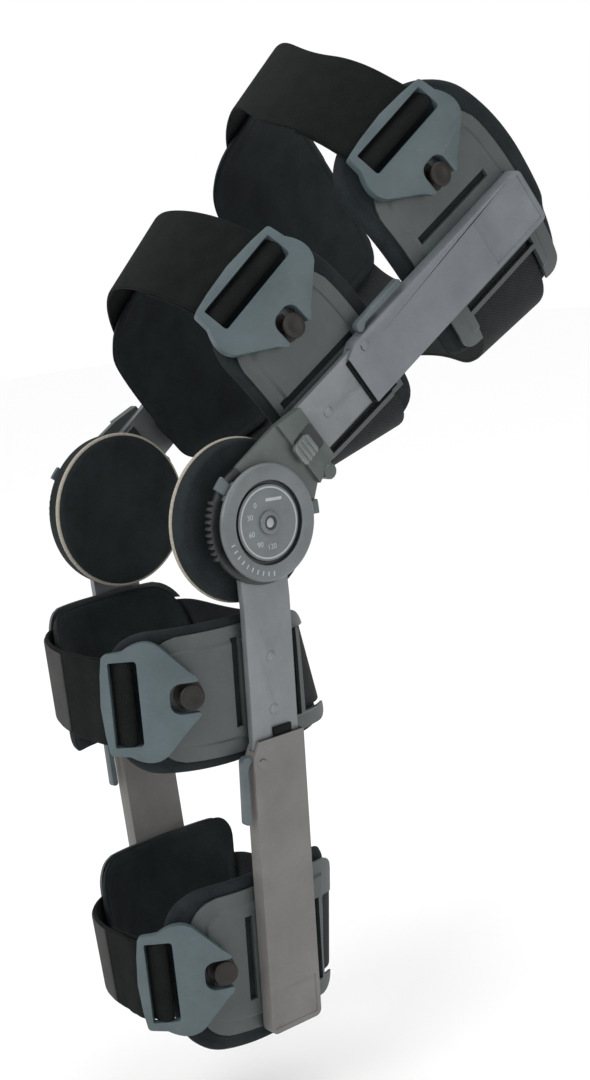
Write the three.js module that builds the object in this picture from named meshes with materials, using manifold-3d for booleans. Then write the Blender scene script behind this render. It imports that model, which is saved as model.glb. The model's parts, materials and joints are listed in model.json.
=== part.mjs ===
// A hinged knee brace with telescoping side bars and four strapped cuffs, bent as it is worn.
// Millimetres, +Z up along the lower leg, -Y to the front of the knee, +X to the outer side.
// The origin is the middle of the knee, on the hinge axis.
import * as THREE from 'three';
import { mergeVertices } from 'three/addons/utils/BufferGeometryUtils.js';
import { TessellateModifier } from 'three/addons/modifiers/TessellateModifier.js';
import Module from 'manifold-3d';

const wasm = await Module();
wasm.setup();

// Driving dimensions. A place on a segment is given by v, its distance behind the hinge axis,
// and w, its distance from the hinge axis along the segment.
const FLEXION = 54;
const GAP = 0.3;
const BAR_FACE = 74;
const BAR = { width: 32, thick: 4, eye: 26 };
const SLEEVE = {
  width: 36.4, proud: 2.5, back: 1.8, chamfer: 9, chamferIn: 4.5, corner: 4, slack: 8,
  rivetIn: 5.5, rivetUp: 4,
};
const RIVET = { radius: 3.2, rise: 1.1, root: 0.8, crown: 0.55, sides: 8 };
const SHELL_THICK = 2.5;
const BOSS_RADIUS = 6;
const PAD_THICK = 9;
const PAD_RISE = 0.6;
const STRAP = {
  thick: 2, tuck: 2.6, pass: 5, meet: 12, tail: [8, 17, 26, 35], lift: [0.35, 0.9], tilt: [-0.4, 0.6],
};
const PAD_STEP = { depth: 3.4, margin: 7, ramp: 3 };
const SLOT = { width: 5, spare: 3.5, depth: 14 };
const NOTCH = { strip: 3, spare: 2, reach: 60, depth: 60 };

// Each segment: its bar's middle line, the bend and flare of the bar, where the bar and sleeve end,
// its rivets, its release lever, the middle of its cuffs and the width of its straps.
const SEGMENTS = {
  thigh: {
    barV: -9, bend: 60, flare: 8.6, barStart: 31, barEnd: 205, sleeve: [102, 257],
    rivets: [75], lever: 120, middle: -24, strap: 56,
  },
  calf: {
    barV: 0, bend: 44, flare: -4, barStart: 0, barEnd: 232, sleeve: [120, 294],
    rivets: [75, 105], lever: 130, middle: -8, strap: 47,
  },
};

// Sections of the worn form, at the pads' outer face: how far it reaches to the front and to the back.
const SECTIONS = {
  thigh: [
    { w: 40, front: 108, back: 25 },
    { w: 138, front: 121.4, back: 58 },
    { w: 310, front: 136, back: 80 },
  ],
  calf: [
    { w: 40, front: 82, back: 35.5 },
    { w: 132, front: 80.5, back: 60 },
    { w: 190, front: 78, back: 57 },
    { w: 310, front: 72, back: 46 },
  ],
};
const ROUNDNESS = { front: 2.4, back: 5 };

// The cuffs: the front strap's level and its rise to the inner side, the rear strap's level, the stud, the
// slots, and the reach of shell and pad: front and back v, near and far w, corner radius, the rear corners'
// own radius where they are sharper, and the drop of the far edge's ends. notchFar carries the rear notch out
// through the far edge.
const CUFFS = {
  upper_thigh: {
    segment: 'thigh', level: 214, rise: 33, rearLevel: 217, stud: -57, frontSlot: -36, rearSlot: 17.5,
    shell: { front: -78, back: 43, near: 174, far: 262, corner: 20, rearCorner: 9, drop: 4 },
    pad: { front: -104, back: 49, near: 166, far: 275, corner: 34, rearCorner: 16, drop: 14 },
  },
  lower_thigh: {
    segment: 'thigh', level: 89, rise: 8, rearLevel: 94, stud: -58, frontSlot: -28, rearSlot: 14,
    notchFar: 12,
    shell: { front: -75, back: 36, near: 55, far: 128, corner: 18, drop: 3 },
    pad: { front: -92, back: 40, near: 51, far: 138, corner: 28, drop: 6 },
  },
  upper_calf: {
    segment: 'calf', level: 86, rise: -5, rearLevel: 90, stud: -47, frontSlot: -18.5, rearSlot: 22.5,
    shell: { front: -64, back: 41, near: 54, far: 126, corner: 18, farRearCorner: 9, drop: 3 },
    pad: { front: -78, back: 44, near: 50, far: 132, corner: 26, farRearCorner: 14, drop: 5 },
  },
  lower_calf: {
    segment: 'calf', level: 247, rise: -4, rearLevel: 253, stud: -41, frontSlot: -22.5, rearSlot: 26.5,
    shell: { front: -54, back: 40, near: 206, far: 291, corner: 18, rearCorner: 9, drop: 3 },
    pad: { front: -66, back: 44, near: 200, far: 301, corner: 28, rearCorner: 14, drop: 6 },
  },
};

// The quick-release buckle, flat: x runs back from the strap's bar to the horns, with the stud at x 0. Its
// margins are beyond half the strap's width.
const BUCKLE = {
  front: -42.5, lip: 2.6, frontMargin: 4.5, margin: 9.5, shoulder: -20, tip: 6.5, tipHalf: 10.5,
  shoulderFront: 12, shoulderRear: 8, shoulderOut: 4, flankOut: 1, rearIn: 3,
  window: [-39.3, -24.3], windowMargin: 0.9, notch: -9, notchHalf: 8.5, notchRound: 6,
  thick: 5, bend: 120, lift: 6, tangent: -18, crossbar: { x: -31.8, h: 0.8, radius: 1.8 },
};
const STUD = { radius: 4.5, cap: 7, top: 12.6, root: 1.2, capDepth: 2.4, edge: 0.8, crown: 5.6, sides: 10 };

// The strap's way through the buckle, in the buckle's x and h: in under its front bar, round the crossbar by
// the turns given, and back out underneath.
const WAY_IN = [{ x: -45.9, h: -1.9 }, { x: -40.9, h: -1.65 }, { x: -38.4, h: -1.4 }, { x: -36.4, h: 0.9 }];
const WAY_ROUND = [120, 80, 40, 0, -40, -80, -120];
const WAY_OUT = [{ x: -36.4, h: -3.3 }, { x: -40.9, h: -4.5 }];

// The hinge, in layers outwards from the condyle pad.
const HINGE = {
  plate: { radius: 28, neck: 46, half: 15, thick: 4, arc: [155, 385] },
  cover: { radius: 34, arc: [170, 405], thick: 3.2, neckThick: 2.5 },
  teeth: { count: 10, from: 205, to: 261, reach: 2.4, shape: [[0.25, 1], [0.6, 1], [0.85, 0]] },
  neck: { near: 42, far: 60, frontNear: -31, frontFar: -27, backNear: 13, backFar: 8 },
  dial: { hub: 26, radius: 32, ring: 24, disc: 22.8, recess: 1.2, lower: 3, upper: 3.5 },
  stop: { from: 26.4, band: 31, to: 38.5, bandHalf: 11, fingerHalf: 6, thick: 2.4 },
  stops: { extension: 191, flexion: 57 },
  lock: { w: 46, half: 6.5, length: 13, thick: 2.6, round: 2.5, groove: 1.3, grooveDepth: 0.7, pitch: 3.2 },
  knob: { v: 13, w: 51, radius: 4.6, rise: 4 },
  pivot: { shaft: 5, head: 6.5, crown: 3.9, rise: 1.5, bore: 5.4, end: 0.2 },
  condyle: { radius: 45.5, thick: 13, edge: 4, dish: [[25, 2.1], [0, 3]] },
};
const PANEL_STEP = 20;
const STRAP_STEP = 15;
const TURN_WEIGHT = 50;
const LEVER = { length: 36, thick: 4, deep: 5, set: -1, boss: 3.2, heel: 4, travel: 3.2 };
const ROUND_SIDES = 24;

const FINISHES = {
  bar: { color: 0x7a7f83, roughness: 0.42, metalness: 0.6 },
  sleeve: { color: 0x74797d, roughness: 0.5, metalness: 0.1 },
  hinge: { color: 0x6b7073, roughness: 0.5, metalness: 0.1 },
  steel: { color: 0x9a9d9f, roughness: 0.35, metalness: 0.9 },
  shell: { color: 0x56595b, roughness: 0.55, metalness: 0 },
  pad: { color: 0x1b2022, roughness: 0.9, metalness: 0 },
  strap: { color: 0x202222, roughness: 0.95, metalness: 0 },
  buckle: { color: 0x5f6b70, roughness: 0.5, metalness: 0 },
};

const rad = THREE.MathUtils.degToRad;
const lerp = THREE.MathUtils.lerp;

// Solids

function bare(geometry) {
  const copy = geometry.clone();
  for (const name of Object.keys(copy.attributes)) {
    if (name !== 'position') copy.deleteAttribute(name);
  }
  return mergeVertices(copy, 1e-4);
}

function signedVolume(geometry) {
  const p = geometry.attributes.position;
  const corners = [new THREE.Vector3(), new THREE.Vector3(), new THREE.Vector3()];
  let sum = 0;
  for (let i = 0; i < geometry.index.count; i += 3) {
    corners.forEach((corner, k) => corner.fromBufferAttribute(p, geometry.index.getX(i + k)));
    sum += corners[0].dot(corners[1].clone().cross(corners[2]));
  }
  return sum / 6;
}

// Turns a closed shape's faces outwards.
function outward(geometry) {
  const shape = bare(geometry);
  if (signedVolume(shape) > 0) return shape;
  const index = shape.index.array;
  for (let i = 0; i < index.length; i += 3) {
    [index[i], index[i + 1]] = [index[i + 1], index[i]];
  }
  return shape;
}

function solid(geometry) {
  const shape = outward(geometry);
  const vertProperties = new Float32Array(shape.attributes.position.array);
  const triVerts = new Uint32Array(shape.index.array);
  return new wasm.Manifold(new wasm.Mesh({ numProp: 3, vertProperties, triVerts }));
}

function geometryOf(manifold) {
  const mesh = manifold.getMesh();
  const geometry = new THREE.BufferGeometry();
  geometry.setAttribute('position', new THREE.Float32BufferAttribute(mesh.vertProperties, 3));
  geometry.setIndex(new THREE.Uint32BufferAttribute(mesh.triVerts, 1));
  return geometry;
}

function join(first, ...others) {
  return geometryOf(others.reduce((sum, other) => sum.add(solid(other)), solid(first)));
}

function cut(first, ...others) {
  return geometryOf(others.reduce((rest, other) => rest.subtract(solid(other)), solid(first)));
}

function mirrored(geometry, x, z) {
  return outward(geometry.clone().scale(x, 1, z));
}

// A plate across X, drawn in the plane of v and w.
function plate(shape, x0, x1, curveSegments = 9) {
  const geometry = new THREE.ExtrudeGeometry(shape, { depth: x1 - x0, bevelEnabled: false, curveSegments });
  const basis = new THREE.Matrix4().makeBasis(
    new THREE.Vector3(0, 1, 0), new THREE.Vector3(0, 0, 1), new THREE.Vector3(1, 0, 0));
  return geometry.applyMatrix4(basis).translate(x0, 0, 0);
}

// A solid turned round an axis along X, from points of radius and x.
function turned(profile, sides = ROUND_SIDES) {
  const points = profile.map(([radius, x]) => new THREE.Vector2(radius, x));
  return new THREE.LatheGeometry(points, sides).rotateZ(-Math.PI / 2);
}

// A closed wall between two surfaces, each a grid of columns and rows.
function wall(columns, rows, outer, inner) {
  const positions = [];
  for (const surface of [outer, inner]) {
    for (let i = 0; i < columns; i++) {
      for (let j = 0; j < rows; j++) positions.push(...surface(i, j));
    }
  }
  const at = (layer, i, j) => (layer * columns + i) * rows + j;
  const index = [];
  const quad = (a, b, c, d) => index.push(a, b, c, a, c, d);
  for (let i = 0; i + 1 < columns; i++) {
    for (let j = 0; j + 1 < rows; j++) {
      quad(at(0, i, j), at(0, i + 1, j), at(0, i + 1, j + 1), at(0, i, j + 1));
      quad(at(1, i, j), at(1, i, j + 1), at(1, i + 1, j + 1), at(1, i + 1, j));
    }
    quad(at(0, i, 0), at(1, i, 0), at(1, i + 1, 0), at(0, i + 1, 0));
    quad(at(0, i, rows - 1), at(0, i + 1, rows - 1), at(1, i + 1, rows - 1), at(1, i, rows - 1));
  }
  for (let j = 0; j + 1 < rows; j++) {
    quad(at(0, 0, j), at(0, 0, j + 1), at(1, 0, j + 1), at(1, 0, j));
    quad(at(0, columns - 1, j), at(1, columns - 1, j), at(1, columns - 1, j + 1), at(0, columns - 1, j + 1));
  }
  const geometry = new THREE.BufferGeometry();
  geometry.setAttribute('position', new THREE.Float32BufferAttribute(positions, 3));
  geometry.setIndex(index);
  return outward(geometry);
}

// The worn form

// The bar's outer face at a distance from the hinge.
function barFace(segment, w) {
  const { bend, flare } = SEGMENTS[segment];
  return BAR_FACE + Math.max(0, w - bend) * Math.tan(rad(flare));
}

const SHELL_DROP = BAR.thick + GAP + SLEEVE.back + GAP;
const PAD_DROP = SHELL_DROP + SHELL_THICK + GAP;

function section(segment, w) {
  const rows = SECTIONS[segment];
  let k = rows.findIndex((row) => row.w >= w);
  k = Math.min(Math.max(k < 0 ? rows.length - 1 : k, 1), rows.length - 1);
  const t = (w - rows[k - 1].w) / (rows[k].w - rows[k - 1].w);
  const middle = SEGMENTS[segment].middle;
  return {
    side: barFace(segment, w) - PAD_DROP,
    front: lerp(rows[k - 1].front, rows[k].front, t) + middle,
    back: lerp(rows[k - 1].back, rows[k].back, t) - middle,
    middle,
  };
}

// A point off the form: the angle is 0 at the outer side, 90 at the front, 180 at the inner side.
function formPoint(segment, angle, w, offset = 0) {
  const { side, front, back, middle } = section(segment, w);
  const ahead = Math.sin(angle) >= 0;
  const depth = ahead ? front : back;
  const power = ahead ? ROUNDNESS.front : ROUNDNESS.back;
  const cos = Math.cos(angle);
  const sin = Math.sin(angle);
  const x = Math.sign(cos) * Math.abs(cos) ** (2 / power);
  const y = -Math.sign(sin) * Math.abs(sin) ** (2 / power);
  const normal = new THREE.Vector2(
    Math.sign(x) * Math.abs(x) ** (power - 1) / side, Math.sign(y) * Math.abs(y) ** (power - 1) / depth);
  normal.normalize();
  return [side * x + normal.x * offset, middle + depth * y + normal.y * offset, w];
}

// How far the form moves out for each millimetre along the segment.
function leanAt(segment, angle, w) {
  const low = formPoint(segment, angle, w);
  const high = formPoint(segment, angle, w + 1);
  return [high[0] - low[0], high[1] - low[1]];
}

// The outer side's angle where the form lies at v.
function angleAt(segment, v, w) {
  const { front, back, middle } = section(segment, w);
  const depth = v < middle ? front : back;
  const power = v < middle ? ROUNDNESS.front : ROUNDNESS.back;
  const angle = Math.asin(Math.min(1, Math.abs(v - middle) / depth) ** (power / 2));
  return v < middle ? angle : -angle;
}

// Angles along the form with the length walked to each, and a measure that also counts the turning.
function walk(segment, w, from, to, steps = 160) {
  const list = [{ angle: from, length: 0, measure: 0 }];
  let last = new THREE.Vector2(...formPoint(segment, from, w));
  let heading = null;
  for (let i = 1; i <= steps; i++) {
    const angle = lerp(from, to, i / steps);
    const next = new THREE.Vector2(...formPoint(segment, angle, w));
    const step = next.clone().sub(last);
    const turn = heading ? Math.abs(step.clone().cross(heading)) / (step.length() * heading.length()) : 0;
    const { length, measure } = list[i - 1];
    list.push({
      angle, length: length + step.length(), measure: measure + step.length() + TURN_WEIGHT * Math.asin(turn),
    });
    last = next;
    heading = step;
  }
  return list;
}

// What a walk holds of one kind where another kind reaches a value.
function look(list, key, value, want) {
  let k = list.findIndex((item) => item[key] >= value);
  if (k < 0) k = list.length - 1;
  if (k === 0) return list[0][want];
  const t = (value - list[k - 1][key]) / (list[k][key] - list[k - 1][key]);
  return lerp(list[k - 1][want], list[k][want], Math.min(1, t));
}

function angleAtLength(list, length) {
  return look(list, 'length', length, 'angle');
}

// Lengths along a walk from one to another, closer together where the form turns.
function spread(list, from, to, step) {
  const start = look(list, 'length', from, 'measure');
  const end = look(list, 'length', to, 'measure');
  const pieces = Math.round((end - start) / step);
  const lengths = [];
  for (let i = 0; i <= pieces; i++) {
    lengths.push(look(list, 'measure', lerp(start, end, i / pieces), 'length'));
  }
  return lengths;
}

// How far a rounded corner draws the edge in, at a distance from the panel's end.
function cornerInset(radius, edge) {
  const lack = Math.max(0, radius - edge);
  return radius - Math.sqrt(radius * radius - lack * lack);
}

// A curved panel on the outer side with rounded corners; inner and outer give its faces' offsets by v at
// the panel's middle.
function panel(segment, reach, inner, outer, breaks = []) {
  const { front, back, near, far, corner, rearCorner = corner, farRearCorner = rearCorner, drop } = reach;
  const middleW = (near + far) / 2;
  const route = walk(segment, middleW, angleAt(segment, back, middleW), angleAt(segment, front, middleW));
  const total = route.at(-1).length;
  const lengths = breaks.map((v) => {
    const angle = angleAt(segment, v, middleW);
    return route.find((item) => item.angle >= angle).length;
  });
  for (const turn of [0, 30, 60, 90]) {
    const step = 1 - Math.cos(rad(turn));
    lengths.push(rearCorner * step, farRearCorner * step, total - corner * step);
  }
  lengths.push(...spread(route, rearCorner, total - corner, PANEL_STEP).slice(1, -1));
  lengths.sort((a, b) => a - b);
  const stations = lengths.filter((length, i) => i === 0 || length - lengths[i - 1] > 0.4);
  const { bend } = SEGMENTS[segment];
  const bent = bend > near && bend < far;
  const spot = (offset) => (i, j) => {
    const ahead = stations[i] > total / 2;
    const edge = ahead ? total - stations[i] : stations[i];
    const low = near + cornerInset(ahead ? corner : rearCorner, edge);
    const sink = drop * (2 * stations[i] / total - 1) ** 2;
    const high = far - sink - cornerInset(ahead ? corner : farRearCorner, edge);
    const levels = [low, high];
    if (bent) levels.splice(1, 0, Math.max(bend, low + 1));
    const w = levels[j];
    const angle = angleAtLength(route, stations[i]);
    const v = formPoint(segment, angle, middleW)[1];
    return formPoint(segment, angle, w, offset(v));
  };
  return wall(stations.length, bent ? 3 : 2, spot(outer), spot(inner));
}

// A box across the form's wall at v, set square to the form.
function squareTo(segment, v, w, box) {
  const angle = angleAt(segment, v, w);
  const low = formPoint(segment, angle, w, 0);
  const high = formPoint(segment, angle, w, 1);
  const lean = Math.atan((barFace(segment, w + 1) - barFace(segment, w)));
  box.rotateY(lean);
  box.rotateZ(Math.atan2(high[1] - low[1], high[0] - low[0]));
  return box.translate(low[0], low[1], w);
}

// A slot as long as a strap is wide.
function slotCutter(segment, v, w) {
  const box = new THREE.BoxGeometry(SLOT.depth, SLOT.width, SEGMENTS[segment].strap + SLOT.spare);
  return squareTo(segment, v, w, box);
}

// The notch in a shell's rear edge, where the rear strap comes out from under the strip behind its slot.
function notchCutter(segment, slot, w, further) {
  const height = SEGMENTS[segment].strap + NOTCH.spare + further;
  const box = new THREE.BoxGeometry(NOTCH.depth, NOTCH.reach, height);
  box.translate(0, SLOT.width / 2 + NOTCH.strip + NOTCH.reach / 2, further / 2);
  return squareTo(segment, slot, w, box);
}

// Bars, sleeves and levers

// Places a shape made along the flared stretch: x 0 is the bar's outer face, z 0 its bend.
function alongBar(geometry, segment) {
  const { barV, bend, flare } = SEGMENTS[segment];
  return geometry.rotateY(rad(flare)).translate(BAR_FACE, barV, bend);
}

function lengthFrom(segment, w) {
  const { bend, flare } = SEGMENTS[segment];
  return (w - bend) / Math.cos(rad(flare));
}

function rivetHead(v, along, x) {
  const { radius, rise, root, crown, sides } = RIVET;
  const profile = [[0, -root], [radius, -root], [radius, rise / 2], [radius * crown, rise], [0, rise]];
  return turned(profile, sides).translate(x, v, along);
}

function barGeometry(segment) {
  const { barV, bend, flare, barStart, barEnd, rivets } = SEGMENTS[segment];
  const lean = Math.tan(rad(flare)) * (barEnd - bend);
  const side = new THREE.Shape();
  side.moveTo(BAR_FACE - BAR.thick, barStart);
  side.lineTo(BAR_FACE, barStart);
  side.lineTo(BAR_FACE, bend);
  side.lineTo(BAR_FACE + lean, barEnd);
  side.lineTo(BAR_FACE + lean - BAR.thick, barEnd);
  side.lineTo(BAR_FACE - BAR.thick, bend);
  side.closePath();
  const strip = new THREE.ExtrudeGeometry(side, { depth: BAR.width, bevelEnabled: false });
  strip.rotateX(Math.PI / 2).translate(0, barV + BAR.width / 2, 0);
  const heads = rivets.map((w) => alongBar(rivetHead(0, lengthFrom(segment, w), 0), segment));
  if (segment === 'thigh') return join(strip, ...heads);
  const eye = new THREE.Shape().absarc(0, 0, BAR.eye, 0, 2 * Math.PI);
  const bore = new THREE.Shape().absarc(0, 0, HINGE.pivot.bore, 0, 2 * Math.PI);
  const whole = join(strip, plate(eye, BAR_FACE - BAR.thick, BAR_FACE), ...heads);
  return cut(whole, plate(bore, BAR_FACE - BAR.thick - 1, BAR_FACE + 1));
}

function sleeveGeometry(segment) {
  const { sleeve, barEnd } = SEGMENTS[segment];
  const near = lengthFrom(segment, sleeve[0]);
  const far = lengthFrom(segment, sleeve[1]);
  const half = SLEEVE.width / 2;
  const { chamfer, chamferIn, corner } = SLEEVE;
  const face = new THREE.Shape();
  face.moveTo(half, near);
  face.lineTo(half, far - corner);
  face.absarc(half - corner, far - corner, corner, 0, Math.PI / 2);
  face.absarc(-half + corner, far - corner, corner, Math.PI / 2, Math.PI);
  face.lineTo(-half, near + chamfer);
  face.lineTo(-half + chamferIn, near);
  face.closePath();
  const back = -BAR.thick - GAP - SLEEVE.back;
  const body = plate(face, back, SLEEVE.proud, 3);
  const room = new THREE.Shape();
  const roomHalf = BAR.width / 2 + GAP;
  const roomEnd = lengthFrom(segment, barEnd) + SLEEVE.slack;
  room.moveTo(-roomHalf, near - chamfer);
  room.lineTo(roomHalf, near - chamfer);
  room.lineTo(roomHalf, roomEnd);
  room.lineTo(-roomHalf, roomEnd);
  room.closePath();
  const hollow = plate(room, -BAR.thick - GAP, GAP);
  const head = rivetHead(-half + SLEEVE.rivetIn, near + chamfer + SLEEVE.rivetUp, SLEEVE.proud);
  return alongBar(join(cut(body, hollow), head), segment);
}

function leverGeometry(segment) {
  const { boss, length, thick, deep, set, heel, travel } = LEVER;
  const pivotW = lengthFrom(segment, SEGMENTS[segment].lever);
  const pivotV = -SLEEVE.width / 2 - GAP - boss;
  const innerV = -SLEEVE.width / 2 - GAP - travel;
  const arm = new THREE.Shape();
  arm.absarc(pivotV, pivotW, boss, Math.PI, 2 * Math.PI);
  arm.lineTo(innerV, pivotW + heel);
  arm.lineTo(innerV, pivotW + length - thick / 2);
  arm.absarc(innerV - thick / 2, pivotW + length - thick / 2, thick / 2, 0, Math.PI);
  arm.closePath();
  return alongBar(plate(arm, set - deep / 2, set + deep / 2, 5), segment);
}

// The hinge

const LAYER = {};
LAYER.plateIn = BAR_FACE - BAR.thick - GAP - HINGE.plate.thick;
LAYER.coverIn = BAR_FACE + GAP;
LAYER.coverOut = LAYER.coverIn + HINGE.cover.thick;
LAYER.neckOut = LAYER.coverOut + HINGE.cover.neckThick;
LAYER.dialIn = LAYER.coverOut + GAP;
LAYER.ringIn = LAYER.dialIn + HINGE.dial.lower;
LAYER.dialOut = LAYER.ringIn + HINGE.dial.upper;

function boreHole() {
  return new THREE.Path().absarc(0, 0, HINGE.pivot.bore, 0, 2 * Math.PI, true);
}

function backPlate() {
  const { radius, neck, half, arc } = HINGE.plate;
  const barV = SEGMENTS.thigh.barV;
  const outline = new THREE.Shape();
  outline.absarc(0, 0, radius, rad(arc[0]), rad(arc[1]));
  outline.lineTo(barV + half, neck);
  outline.lineTo(barV - half, neck);
  outline.closePath();
  outline.holes.push(boreHole());
  return plate(outline, LAYER.plateIn, LAYER.plateIn + HINGE.plate.thick);
}

// The cover's neck over the thigh bar, from its rear near corner round to its front near corner.
function neckCorners() {
  const { near, far, frontNear, frontFar, backNear, backFar } = HINGE.neck;
  const corners = [[backNear, near], [backFar, far], [frontFar, far], [frontNear, near]];
  return corners.map((corner) => new THREE.Vector2(...corner));
}

function cover() {
  const { radius, arc } = HINGE.cover;
  const { count, from, to, reach, shape } = HINGE.teeth;
  const outline = new THREE.Shape();
  outline.absarc(0, 0, radius, rad(arc[0]), rad(from));
  for (let i = 0; i < count; i++) {
    for (const [turn, part] of shape) {
      const angle = rad(lerp(from, to, (i + turn) / count));
      const at = radius + part * reach;
      outline.lineTo(at * Math.cos(angle), at * Math.sin(angle));
    }
  }
  outline.absarc(0, 0, radius, rad(to), rad(arc[1]));
  for (const corner of neckCorners()) outline.lineTo(corner.x, corner.y);
  outline.closePath();
  outline.holes.push(boreHole());
  const base = plate(outline, LAYER.coverIn, LAYER.coverOut);
  const upper = plate(new THREE.Shape(neckCorners()), LAYER.coverOut - 1, LAYER.neckOut);
  const { v, w, radius: knobRadius, rise } = HINGE.knob;
  const knobOut = LAYER.coverOut + rise;
  const knob = turned([[0, LAYER.coverIn], [knobRadius, LAYER.coverIn], [knobRadius, knobOut - 1],
    [knobRadius - 1, knobOut], [0, knobOut]], 12).translate(0, v, w);
  return join(base, upper, knob);
}

function dial() {
  const { hub, radius, ring, disc, recess } = HINGE.dial;
  const { bore } = HINGE.pivot;
  const { dialIn, ringIn, dialOut } = LAYER;
  return turned([[bore, dialIn], [hub, dialIn], [hub, ringIn], [radius, ringIn], [radius, dialOut - 1],
    [radius - 1, dialOut], [ring, dialOut], [disc, dialOut - recess], [bore, dialOut - recess],
    [bore, dialIn]]);
}

function pivot() {
  const { shaft, head, crown, rise, end } = HINGE.pivot;
  const under = LAYER.dialOut - HINGE.dial.recess + GAP;
  return turned([[0, LAYER.plateIn + end], [shaft, LAYER.plateIn + end], [shaft, under], [head, under],
    [head, under + rise / 2], [crown, under + rise], [0, under + rise]], 12);
}

function stopTab(place) {
  const { from, band, to, bandHalf, fingerHalf, thick } = HINGE.stop;
  const shape = new THREE.Shape();
  const low = rad(place - bandHalf);
  const high = rad(place + bandHalf);
  const fingerLow = rad(place - fingerHalf);
  const fingerHigh = rad(place + fingerHalf);
  shape.absarc(0, 0, from, high, low, true);
  shape.absarc(0, 0, band, low, fingerLow);
  shape.absarc(0, 0, to, fingerLow, fingerHigh);
  shape.absarc(0, 0, band, fingerHigh, high);
  shape.closePath();
  return plate(shape, LAYER.dialIn, LAYER.dialIn + thick, 3);
}

function lockSlide() {
  const { w, half, length, thick, round, groove, grooveDepth, pitch } = HINGE.lock;
  const barV = SEGMENTS.thigh.barV;
  const base = LAYER.neckOut + GAP;
  const shape = new THREE.Shape();
  shape.moveTo(barV - half + round, w - length / 2);
  shape.absarc(barV + half - round, w - length / 2 + round, round, -Math.PI / 2, 0);
  shape.absarc(barV + half - round, w + length / 2 - round, round, 0, Math.PI / 2);
  shape.absarc(barV - half + round, w + length / 2 - round, round, Math.PI / 2, Math.PI);
  shape.absarc(barV - half + round, w - length / 2 + round, round, Math.PI, 1.5 * Math.PI);
  const body = plate(shape, base, base + thick, 3);
  const grooves = [-1, 0, 1].map((k) => {
    const box = new THREE.BoxGeometry(2 * grooveDepth, 3 * half, groove);
    return box.translate(base + thick, barV, w + k * pitch);
  });
  return cut(body, ...grooves);
}

function condylePad() {
  const { radius, thick, edge, dish } = HINGE.condyle;
  const out = LAYER.plateIn - GAP;
  const inside = out - thick;
  const round = [0, 45, 90].map((turn) => [
    radius - edge * (1 - Math.cos(rad(turn))), inside + edge * (1 - Math.sin(rad(turn)))]);
  const face = dish.map(([at, depth]) => [at, inside + depth]);
  return turned([[0, out], [radius, out], ...round, ...face]);
}

// Cuffs

// The inner side's pieces sit further along the leg than the outer side's, by the cuff's rise.
function raised(reach, rise) {
  return { ...reach, near: reach.near + rise, far: reach.far + rise };
}

function shellGeometry(cuff, lateral) {
  const { segment, shell, stud, level, rearLevel, frontSlot, rearSlot, notchFar = 0 } = cuff;
  const rise = lateral ? 0 : cuff.rise;
  const body = panel(segment, raised(shell, rise), () => GAP, () => GAP + SHELL_THICK);
  const cutters = [
    slotCutter(segment, rearSlot, rearLevel + rise),
    notchCutter(segment, rearSlot, rearLevel + rise, notchFar),
    slotCutter(segment, frontSlot, level + rise),
  ];
  const extras = [];
  if (lateral) extras.push(studGeometry(segment, stud, level));
  for (const w of SEGMENTS[segment].rivets) {
    if (w > shell.near + rise && w < shell.far + rise) {
      const root = -SHELL_DROP - SHELL_THICK / 2;
      const tip = -BAR.thick - GAP;
      const boss = turned([[0, root], [BOSS_RADIUS, root], [BOSS_RADIUS, tip], [0, tip]], 8);
      extras.push(alongBar(boss.translate(0, 0, lengthFrom(segment, w)), segment));
    }
  }
  return join(cut(body, ...cutters), ...extras);
}

function studGeometry(segment, v, w) {
  const { radius, cap, top, root, capDepth, edge, crown, sides } = STUD;
  const angle = angleAt(segment, v, w);
  const low = formPoint(segment, angle, w, 0);
  const high = formPoint(segment, angle, w, 1);
  const stem = turned([[0, root], [radius, root], [radius, top - capDepth - edge], [cap, top - capDepth],
    [cap, top - edge], [crown, top], [0, top]], sides);
  stem.rotateZ(Math.atan2(high[1] - low[1], high[0] - low[0]));
  return stem.translate(low[0], low[1], w);
}

// The pad steps in by more than the strap's thickness where a strap's end tucks in under the shell.
function padGeometry(cuff, lateral) {
  const { segment, pad, frontSlot, rearSlot } = cuff;
  const { depth, margin, ramp } = PAD_STEP;
  const rearStep = rearSlot - STRAP.pass - margin;
  const frontStep = frontSlot + STRAP.pass + margin;
  const outer = (v) => {
    const rear = THREE.MathUtils.smoothstep(v, rearStep - 0.01, rearStep + ramp);
    const front = lateral ? 0 : THREE.MathUtils.smoothstep(-v, -frontStep - 0.01, -frontStep + ramp);
    return -depth * Math.max(rear, front);
  };
  const breaks = [rearStep, rearStep + ramp];
  if (lateral) return panel(segment, pad, () => -PAD_THICK, outer, breaks);
  breaks.push(frontStep, frontStep - ramp);
  const rise = Math.max(0, cuff.rise) * PAD_RISE;
  return panel(segment, raised(pad, rise), () => -PAD_THICK, outer, breaks);
}

// How much of a cuff's rise a strap has made at x.
function tilt(x, side) {
  const [from, to] = STRAP.tilt;
  return THREE.MathUtils.smoothstep(-x, side * from, side * to);
}

// A strap along a path of points with the form's lean at each; riseAt gives its height above the level.
function ribbon(path, width, level, riseAt) {
  const normals = path.map((point, i) => {
    const before = path[Math.max(0, i - 1)];
    const after = path[Math.min(path.length - 1, i + 1)];
    return new THREE.Vector2(after[1] - before[1], before[0] - after[0]).normalize();
  });
  const spot = (sign) => (i, j) => {
    const reach = sign * STRAP.thick / 2;
    const [x, y, leanX, leanY] = path[i];
    const along = riseAt(x) + (j - 0.5) * width;
    const outX = normals[i].x * reach + leanX * along;
    const outY = normals[i].y * reach + leanY * along;
    return [x + outX, y + outY, level + along];
  };
  return wall(path.length, 2, spot(1), spot(-1));
}

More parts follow.
